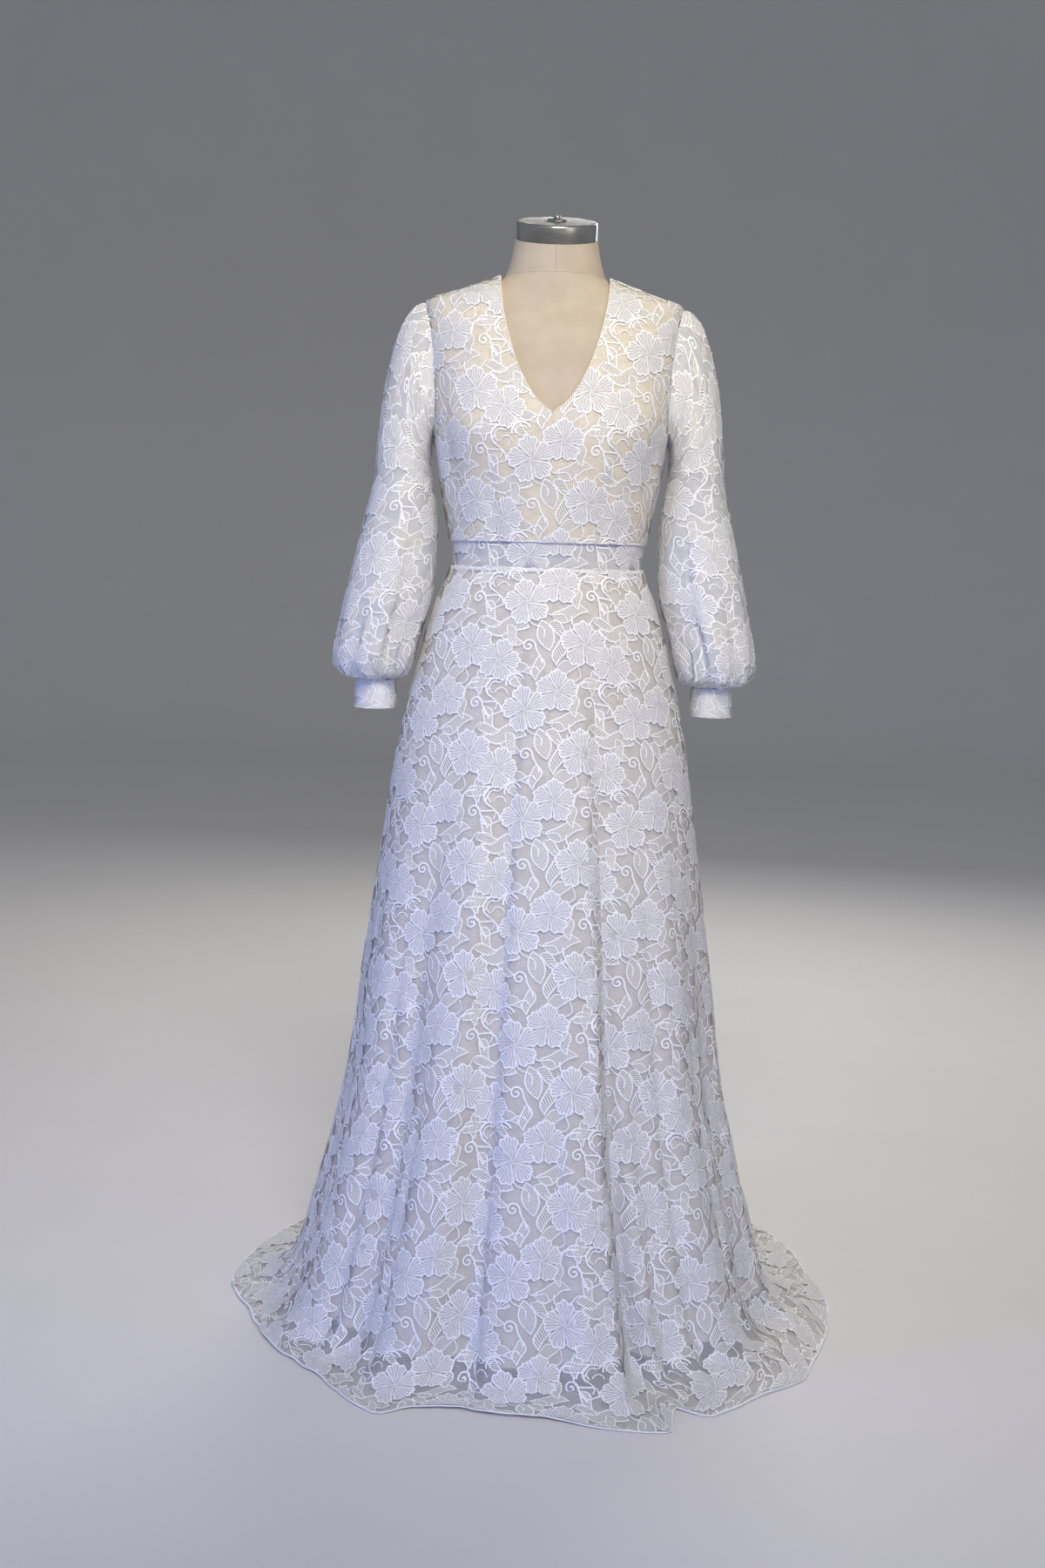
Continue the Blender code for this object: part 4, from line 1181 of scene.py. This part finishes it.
def form(angle, height):
    """The form's cover: the body's section less its ease, and a neck that leans."""
    ease = read(BODY, "ease", height)[..., None]
    points = body(angle, height) - normals(body, angle, height) * ease
    lean = np.clip((points[..., 2] - NECK_LEAN) / (NECK_TOP - NECK_LEAN), 0.0, 1.0)
    points[..., 2] += math.tan(CAP_TILT) * (points[..., 1] - NECK_FORWARD) * lean
    return points


heights = np.concatenate([np.linspace(TORSO_BOTTOM, 1.43, 60), np.linspace(1.437, NECK_TOP, 28)])
rings = form(*np.meshgrid(np.arange(96) * 3.75 - 180.0, heights))
rings[0, :, 2] = TORSO_BOTTOM
torso = closed_rings("form_body", rings, form_cotton, "form_cloth")
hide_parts("form_torso")
cover = form_cotton, "form_cloth"
centre_seam = form(np.zeros(24), np.linspace(1.4855, NECK_TOP - 0.002, 24))
forwards = np.broadcast_to((0.0, -1.0, 0.0), centre_seam.shape)
edging("form_seam_front", centre_seam, forwards, (0.0008, 0.0016), *cover)
neck_ring = form(np.arange(72) * 5.0 - 180.0, np.full(72, 1.4840))
outwards = neck_ring - neck_ring.mean(axis=0)
outwards /= np.linalg.norm(outwards, axis=-1)[:, None]
edging("form_seam_neck", neck_ring, outwards, (0.0010, 0.0018), *cover, closed=True)

CAP = table("""
    radius height
    0.0565 0.0003
    0.0565 0.006
    0.0565 0.0213
    0.0561 0.0224
    0.0553 0.0232
    0.0540 0.0236
    0.0480 0.0238
    0.0300 0.0246
    0.0142 0.0249
    0.0134 0.0252
    0.0131 0.0268
    0.0120 0.0272
    0.0056 0.0276
    0.0049 0.0280
    0.0048 0.0300
    0.0044 0.0311
    0.0034 0.0317
""")
turn = np.arange(96) / 96 * math.tau
radius = CAP["radius"][:, None]
spun = joined(radius * np.cos(turn), radius * np.sin(turn), CAP["height"][:, None])
seat = np.array(Matrix.Rotation(CAP_TILT, 3, "X"))
spun = spun @ seat.T + (0.0, NECK_FORWARD, NECK_TOP + 0.0003)
cap = closed_rings("form_cap", spun, chrome, "chrome")
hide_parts("neck_cap")
cap.data.materials.append(cap_disc)
facing_out = np.empty(len(cap.data.polygons) * 3)
cap.data.polygons.foreach_get("normal", facing_out)
upwards = facing_out.reshape(-1, 3) @ seat[:, 2] > 0.9
cap.data.polygons.foreach_set("material_index", upwards.astype(np.int32))
print("form", len(torso.data.polygons), "faces, cap", len(cap.data.polygons), "faces")

# %% [markdown]
# ## Skirt and lining
#
# The skirt is three panels of lace, each with its own straight grain, over a
# lining that stops just above the floor. Where the lace lies out on the floor it
# has no lining, so the floor shows through.

# %% A panel of lace, and a ridge along an edge


def lace_panel(
    kind, side, cut, grid, outs, finish, slot, start, node,
    trim=None, mirror=1.0, open_at=None, lined=None,
):
    """A net with its motifs, `outs` from the surface. It replaces the solid, and its
    flat cut is stated. A lining sewn to it as one is given as its own `out` and
    finish, and has the same cut."""
    ground = cloth_sheet(f"{kind}_net_{side}", cut, *grid, outs[0], finish, slot, mirror, open_at)
    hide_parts(node)
    if lined:
        lining = cloth_sheet(f"{kind}_lining_{side}", cut, *grid, *lined, slot, mirror, open_at)
    motifs = lace_motifs(f"{kind}_lace_{side}", cut, start, outs[1], slot, trim, mirror)
    wide, long, area = flat_facts(cut, *grid, open_at)
    print(f"{kind} {side}: cut {wide:.2f} x {long:.3f} m, {area:.3f} square metres")


def sewn_ridge(name, surface, across, down, out, size, slot):
    """A sewn ridge on a surface, along a line across it."""
    down = np.full_like(across, down)
    face = normals(surface, across, down)
    edging(name, surface(across, down) + face * out, face, size, net_dense, slot)


# %% Skirt panels
SKIRT_PANELS = (
    ("front", -90.0, 90.0, 0.0, (-5.0, 36.0)),
    ("back_left", 90.0, 180.0, 135.0, (20.0, 60.0)),
    ("back_right", -180.0, -90.0, -135.0, (-20.0, 60.0)),
)
LEVELS = np.concatenate(
    [np.linspace(0.0, -0.90, 46), np.linspace(-0.915, -1.08, 12), np.linspace(-1.13, -2.0, 13)]
)
LINING_LEVELS = np.linspace(-0.001, -0.965, 46)
LINING_OUT = -0.0026
for side, first, last, middle, start in SKIRT_PANELS:
    angles = np.linspace(first, last, round((last - first) / 1.25) + 1)
    cut = unroll(skirt, angles, LEVELS, middle, (first, last), cone=True)
    grid = np.meshgrid(angles, LEVELS)
    lace_panel(
        "skirt", side, cut, grid, (0.0007, 0.0010), net_lined, "lace", start,
        f"skirt_{side}",
    )
    grid = np.meshgrid(angles, LINING_LEVELS)
    lining = cloth_sheet(f"skirt_lining_{side}", cut, *grid, LINING_OUT, lining_satin, "lining")
    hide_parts(f"lining_{side}")
    wide, long, area = flat_facts(cut, *grid)

    edge = skirt(angles, -2.0)
    up = np.broadcast_to((0.0, 0.0, 1.0), edge.shape)
    edging(f"hem_edge_{side}", edge + (0, 0, 0.0009), up, (0.0016, 0.0036), cords, "lace")
    sewn_ridge(f"waist_seam_{side}", skirt, angles, -0.0035, 0.0010, (0.0012, 0.0060), "lace")

# %% [markdown]
# ## Bodice
#
# The bodice is cut with a V neck in front and a shallow round neck behind. The
# sheets are blended from the panel's four edges, and the lace is trimmed to the
# same edges: the neckline, the shoulder and the armhole.

# %% The bodice's edges


def neck_angle(height, back):
    """Angle of the neckline at a height. In front it follows the V, and behind it
    rises from the middle in a quarter of a cosine wave."""
    if back:
        share = np.clip((height - BACK_NECK) / (NECK_POINT - BACK_NECK), 0.0, 1.0)
        return angle_at(NECK_HALF_WIDTH * np.sin(np.arccos(1 - share)), height)
    angle = angle_at(read(NECK_EDGE, "half_width", height), height)
    return np.where(height > NECK_EDGE["height"][0], angle, 0.0)


FRONT_HEIGHTS = np.array([1.1125, 1.1500, 1.1900, 1.2380, *NECK_EDGE["height"]])
FRONT_STEPS = np.array([0.0, 1.0, 2.0, 3.0, *np.linspace(4.0, 9.0, len(NECK_EDGE["height"]))])


def front_height(steps):
    """The height of the front's middle edge: up the middle, then along the V."""
    return through(FRONT_STEPS, FRONT_HEIGHTS, steps)


def back_neck(turn):
    """Angle from the middle of the back, and height, along the round back neck."""
    height = BACK_NECK + (NECK_POINT - BACK_NECK) * (1 - np.cos(turn))
    return angle_at(NECK_HALF_WIDTH * np.sin(turn), height), height


def bodice_grid(back):
    """Angles and heights over half a bodice panel: the average of the two pairs of
    edges drawn straight across, less the straight patch of the four corners."""
    steps = np.concatenate([np.linspace(0.0, 8.0, 49), np.linspace(8.1, 9.0, 10)])
    share = np.linspace(0.0, 1.0, 41)
    side = read(SIDE_AND_ARMHOLE, "angle", steps)
    side_height = read(SIDE_AND_ARMHOLE, "height", steps)
    if back:
        centre_height = BODICE_HEM + (BACK_NECK - BODICE_HEM) * steps / 9.0
        centre = np.zeros_like(steps)
        top, neck_height = back_neck(np.clip(share / 0.4, 0.0, 1.0) * math.pi / 2)
        shoulder = np.clip((share - 0.4) / 0.6, 0.0, 1.0)
        top_height = neck_height + (SHOULDER_TIP - NECK_POINT) * shoulder
    else:
        centre_height = front_height(steps)
        centre = neck_angle(centre_height, False)
        top = np.full_like(share, 90.0)
        top_height = NECK_POINT + (SHOULDER_TIP - NECK_POINT) * share
    climb = ((steps / 9.0) ** 3)[:, None]
    grids = []
    for left, right, upper in ((centre, side, top), (centre_height, side_height, top_height)):
        lower = left[0] + (right[0] - left[0]) * share
        across = left[:, None] * (1 - share) + right[:, None] * share
        upwards = lower[None, :] * (1 - climb) + upper[None, :] * climb
        ridge = upper[0] * (1 - share) + upper[-1] * share
        grids.append(across + upwards - lower * (1 - climb) - ridge * climb)
    return grids


def trimmed(back):
    """The trimming of motifs to a bodice panel's neckline, shoulder and armhole."""

    def trim(angle, height):
        sign = np.where(angle < 0, -1.0, 1.0)
        turned = 180.0 - np.abs(angle) if back else np.abs(angle)
        held = np.clip(height, BODICE_HEM, NECK_POINT)
        inner = neck_angle(held, back)
        if back:
            inner = np.where(held > BACK_NECK, inner, 0.0)
        rows = np.linspace(4.0, 9.0, 60)
        edge = [read(SIDE_AND_ARMHOLE, name, rows) for name in ("height", "angle")]
        outer = np.where((held > SHOULDER_TIP) | (held < 1.25), 90.0, np.interp(held, *edge))
        kept = (turned > inner - 1e-6) & (turned < outer + 1e-6)
        kept &= (height < NECK_POINT) & (height > BODICE_HEM)
        turned = np.clip(turned, np.minimum(inner, outer), outer)
        return sign * (180.0 - turned if back else turned), held, kept

    return trim


# %% Bodice panels
HEIGHTS = np.concatenate([np.linspace(NECK_POINT, 1.43, 20), np.linspace(1.42, BODICE_HEM, 50)])
BODICE_PANELS = (
    ("front", -90.0, 90.0, 0.0, (50.0, 88.0), (-6.0, 10.0), False),
    ("back_left", 90.0, 180.0, 180.0, (92.0, 130.0), (79.0, 30.0), True),
    ("back_right", -180.0, -90.0, -180.0, (-130.0, -92.0), (79.0, 30.0), True),
)
for side, first, last, middle, guide, start, back in BODICE_PANELS:
    columns = np.linspace(first, last, round((last - first) / 1.5) + 1)
    cut = unroll(body, columns, HEIGHTS, middle, guide)
    angle, height = bodice_grid(back)
    open_at = None
    if back:
        angle = (180.0 - angle) * (1.0 if side == "back_left" else -1.0)
    else:
        open_at = angle.shape[1] - 1
        angle = np.concatenate([-angle[:, ::-1], angle], axis=1)
        height = np.concatenate([height[:, ::-1], height], axis=1)
    lace_panel(
        "bodice", side, cut, (angle, height), (0.0014, 0.0015), net_bodice, "bodice_lace",
        start, f"bodice_{side}", trimmed(back), open_at=open_at,
        lined=(0.0004, bodice_satin),
    )
    sewn_ridge(
        f"bodice_hem_{side}", body, columns, BODICE_HEM + 0.0012, 0.0011, (0.0022, 0.0030),
        "bodice_lace",
    )

# %% [markdown]
# ## Neck binding and seams
#
# A narrow binding runs round the neck, and the sleeves' heads are sewn into the
# armholes. Both are swept on the edges that the panels already have.

# %% Neck binding and armhole seams
rise = front_height(np.linspace(4.0, 9.0, 46))
back_angle, back_rise = back_neck(np.linspace(math.pi / 2, 0.0, 30)[1:])
half_angle = np.concatenate([neck_angle(rise, False), 180.0 - back_angle])
half_height = np.concatenate([rise, back_rise])
for side, sign in (("left", 1.0), ("right", -1.0)):
    face = normals(body, sign * half_angle, half_height)
    path = body(sign * half_angle, half_height) + face * 0.0010
    edging(f"neck_binding_{side}", path, face, (0.0020, 0.0018), bodice_satin, "bodice_lace")
    around = np.arange(72) / 72 * 360.0
    seam = sleeve(around, np.full_like(around, 0.004))
    face = armhole(around, 1.0) - armhole(around, 0.0)
    mirrored = np.array([sign, 1.0, 1.0])
    path, face = seam * mirrored, face * mirrored
    edging(f"armhole_seam_{side}", path, face, (0.0016, 0.0022), net_dense, "lace", closed=True)

# %% Back seam and zip pull
heights = np.linspace(BODICE_HEM, BACK_NECK - 0.002, 60)
backwards = np.broadcast_to((0.0, 1.0, 0.0), (60, 3))
seam = body(np.full(60, 180.0), heights) + backwards * 0.0016
edging("back_seam", seam, backwards, (0.0014, 0.0024), net_dense, "bodice_lace")
turn = np.arange(12) / 12 * math.tau
drops = np.array([0.0, 0.0012, 0.0045, 0.0085, 0.0110, 0.0120])[:, None]
widths = np.array([0.0008, 0.0021, 0.0024, 0.0018, 0.0012, 0.0006])[:, None]
top = body(np.array(180.0), np.array(BACK_NECK - 0.018)) + np.array([0.0, 0.0036, 0.0])
pull = joined(widths * np.cos(turn), 0.35 * widths * np.sin(turn), drops)
closed_rings("zip_pull", pull + top, chrome, "chrome")
print("back seam", round(float(np.ptp(heights)), 3), "m long")

# %% [markdown]
# ## Waist strip
#
# Between the bodice and the skirt runs a strip of lace with no lining. The form
# shows through it, which makes it look darker than the cloth above and below.

# %% Waist strip
for side, first, last, middle, _, start, _ in BODICE_PANELS:
    columns = np.linspace(first, last, round((last - first) / 2.0) + 1)
    rows = np.linspace(BAND_TOP, WAIST_SEAM, 9)
    cut = unroll(body, columns, rows, middle, (first, last))
    grid = np.meshgrid(columns, rows)
    lace_panel(
        "waist", side, cut, grid, (-0.0018, -0.0016), net_sheer, "lace", start,
        f"waist_band_{side}",
    )

# %% [markdown]
# ## Sleeves and cuffs
#
# A bishop sleeve is cut much wider than the cuff and gathered into it, so that it
# puffs over the wrist. The sleeve is unrolled from the line under the arm, where
# its seam is. It is worked out for the wearer's left, and its x is turned round
# for the right.

# %% Sleeves
AROUND = np.linspace(-180.0, 180.0, 145)
ROWS = np.concatenate(
    [np.linspace(0.0, 0.95, 20), np.linspace(1.0, 5.0, 40), np.linspace(5.1, 9.9, 49)]
)
sleeve_cut = unroll(sleeve, AROUND, ROWS, 0.0, (40.0, 120.0))
for side, sign, start in (("left", 1.0, (-20.0, 20.0)), ("right", -1.0, (10.0, 55.0))):
    grid = np.meshgrid(AROUND, ROWS)
    lace_panel(
        "sleeve", side, sleeve_cut, grid, (-0.0007, -0.0004), net_sheer, "lace", start,
        f"sleeve_{side}", mirror=sign,
    )

# %% [markdown]
# The cuff is a double band of dense lace. It is a closed wall: an outer and an
# inner face, joined over the top and bottom edges by a small round.

# %% Cuffs
around = np.linspace(-180.0, 180.0, 73)
CUFF_WALL = table("""
    drop out
    0 0.0004
    0 0.0014
    0.02 0.0020
    0.1 0.0020
    0.3 0.0021
    0.5 0.0019
    0.7 0.0021
    0.9 0.0020
    0.98 0.0018
    1 0.0014
    1 0.0006
    0.98 0
    0.7 0
    0.3 0
    0.02 0
    0 0.0004
""")
CUFF_RADIUS, CUFF_LENGTH = 0.031, 0.041  # of the flat band, for its weave
cuff_cut = unroll(cuff, around, np.linspace(0.0, 1.0, 12), 0.0, (-180.0, 180.0))
turned, fallen = np.meshgrid(around[:-1], CUFF_WALL["drop"])
face = normals(cuff, turned, fallen)
wall = (cuff(turned, fallen) + face * CUFF_WALL["out"][:, None, None]).reshape(-1, 3)
middle = (cuff(turned, fallen) + face * 0.0010).reshape(-1, 3)
outer_quads = turned_out(wall, grid_quads(*turned.shape, closed=True), wall - middle)
x = np.radians(turned) * CUFF_RADIUS
y = np.cumsum(np.abs(np.diff(CUFF_WALL["drop"], prepend=0.0)))[:, None] * CUFF_LENGTH
for side, sign in (("left", 1.0), ("right", -1.0)):
    quads = outer_quads if sign > 0 else outer_quads[:, ::-1]
    uv = joined(x, y).reshape(-1, 2)[quads]
    seam = np.ptp(uv[..., 0], axis=1) > 0.1
    round_once = uv[seam, :, 0] + math.tau * CUFF_RADIUS
    uv[seam, :, 0] = np.where(uv[seam, :, 0] < 0, round_once, uv[seam, :, 0])
    placed = wall * (sign, 1.0, 1.0)
    band = make_piece(f"cuff_lace_{side}", placed, quads.tolist(), [net_dense], "cuff_lace", uv)
    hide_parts(f"cuff_{side}")
    lace_motifs(
        f"cuff_motifs_{side}", cuff_cut, (8.0, 20.0), 0.0019, "cuff_lace", mirror=sign, scale=0.8
    )

# %% [markdown]
# ## Floor, light and camera
#
# A pale floor curves up into a pale wall far behind. The large soft light is high
# in front and slightly warm, and keeps to the upper half. Two cool ones stand low,
# so the skirt turns blue towards the hem and its folds show.

# %% Floor, curving up far behind
turn = np.linspace(0.0, math.pi / 2, 14)
run = np.concatenate([[-12.0, 0.0], 7.5 + 3.0 * np.sin(turn), [10.5]])
rise = np.concatenate([[0.0, 0.0], 3.0 - 3.0 * np.cos(turn), [9.0]]) - 0.0004
points = joined(np.linspace(-14.0, 14.0, 5)[None, :], run[:, None], rise[:, None])
floor_mesh = bpy.data.meshes.new("floor")
floor_mesh.from_pydata(points.reshape(-1, 3), [], grid_quads(len(run), 5).tolist())
floor_mesh.shade_smooth()
floor_finish, floor_tree, floor_shader = finish_with("pale floor")
place = add(floor_tree, "ShaderNodeTexCoord", {})["Object"]
noise = {"Scale": 3.0, "Detail": 4.0, "Vector": place}
grain = add(floor_tree, "ShaderNodeTexNoise", noise)["Fac"]
pale = blend_colours(floor_tree, grain, (0.70, 0.68, 0.65, 1.0), (0.74, 0.72, 0.69, 1.0))
floor_tree.links.new(pale, floor_shader.inputs["Base Color"])
floor_shader.inputs["Roughness"].default_value = 0.85
floor_mesh.materials.append(floor_finish)
floor = bpy.data.objects.new("floor", floor_mesh)
bpy.context.collection.objects.link(floor)
floor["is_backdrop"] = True

# %% Lights


def soft_light(name, place, target, size, power_watts, colour, spread=180.0, mirrored=True):
    """A square area light that looks at a point. Less spread keeps it to its aim.

    One that is not mirrored lights the cloth but leaves no streak on the metal.
    """
    lamp = bpy.data.lights.new(name, "AREA")
    lamp.size, lamp.energy, lamp.color = size, power_watts, colour
    lamp.spread = math.radians(spread)
    made = bpy.data.objects.new(name, lamp)
    made.location = place
    made.rotation_euler = (Vector(target) - Vector(place)).to_track_quat("-Z", "Y").to_euler()
    made.visible_glossy = mirrored
    bpy.context.collection.objects.link(made)


soft_light("warm_top", (0.2, -2.6, 3.0), (0.0, 0.0, 1.42), 1.2, 17.0, (1.0, 0.93, 0.78), 75.0)
soft_light("warm_side", (1.9, -2.6, 1.9), (0.0, 0.0, 1.1), 1.2, 9.0, (1.0, 0.92, 0.76))
soft_light(
    "cool_side", (-2.9, -1.3, 0.95), (0.0, 0.0, 0.40), 0.9, 8.2, (0.20, 0.33, 1.0), 90.0, False
)
soft_light(
    "cool_low", (0.4, -3.2, 0.85), (0.1, 0.0, 0.2), 0.9, 4.8, (0.18, 0.30, 1.0), 70.0, False
)
soft_light("back", (0.6, 3.0, 2.6), (0.0, 0.0, 0.9), 1.6, 46.0, (1.0, 0.98, 0.95))
world = bpy.data.worlds.new("studio")
world.use_nodes = True
sky = world.node_tree.nodes["Background"].inputs
sky["Color"].default_value, sky["Strength"].default_value = (0.74, 0.78, 0.90, 1.0), 0.33
bpy.context.scene.world = world

# %% Camera
FOCUS_PIXELS, WIDTH_PIXELS = 2238.1, 1200
TILT_DOWN, ROLL = 6.635, 1.634  # degrees
lens = bpy.data.cameras.new("camera")
lens.sensor_fit = "HORIZONTAL"
lens.sensor_width = 36.0
lens.lens = FOCUS_PIXELS / WIDTH_PIXELS * lens.sensor_width
camera = bpy.data.objects.new("camera", lens)
tilt = Matrix.Rotation(math.radians(90 - TILT_DOWN), 4, "X")
roll = Matrix.Rotation(math.radians(ROLL), 4, "Z")
camera.matrix_world = Matrix.Translation((-0.026, -2.8, 1.0917)) @ tilt @ roll
bpy.context.collection.objects.link(camera)
bpy.context.scene.camera = camera
bpy.context.scene.view_settings.view_transform = "Standard"

# %% [markdown]
# ## Finish
#
# The triangles of every shown piece are counted, and their sum and the largest
# count are printed.

# %% Count the triangles of the pieces
triangles = {}
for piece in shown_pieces():
    if piece.type == "MESH":
        triangles[piece.name] = sum(len(face.vertices) - 2 for face in piece.data.polygons)
print("triangles", sum(triangles.values()), "most", max(triangles.values()))
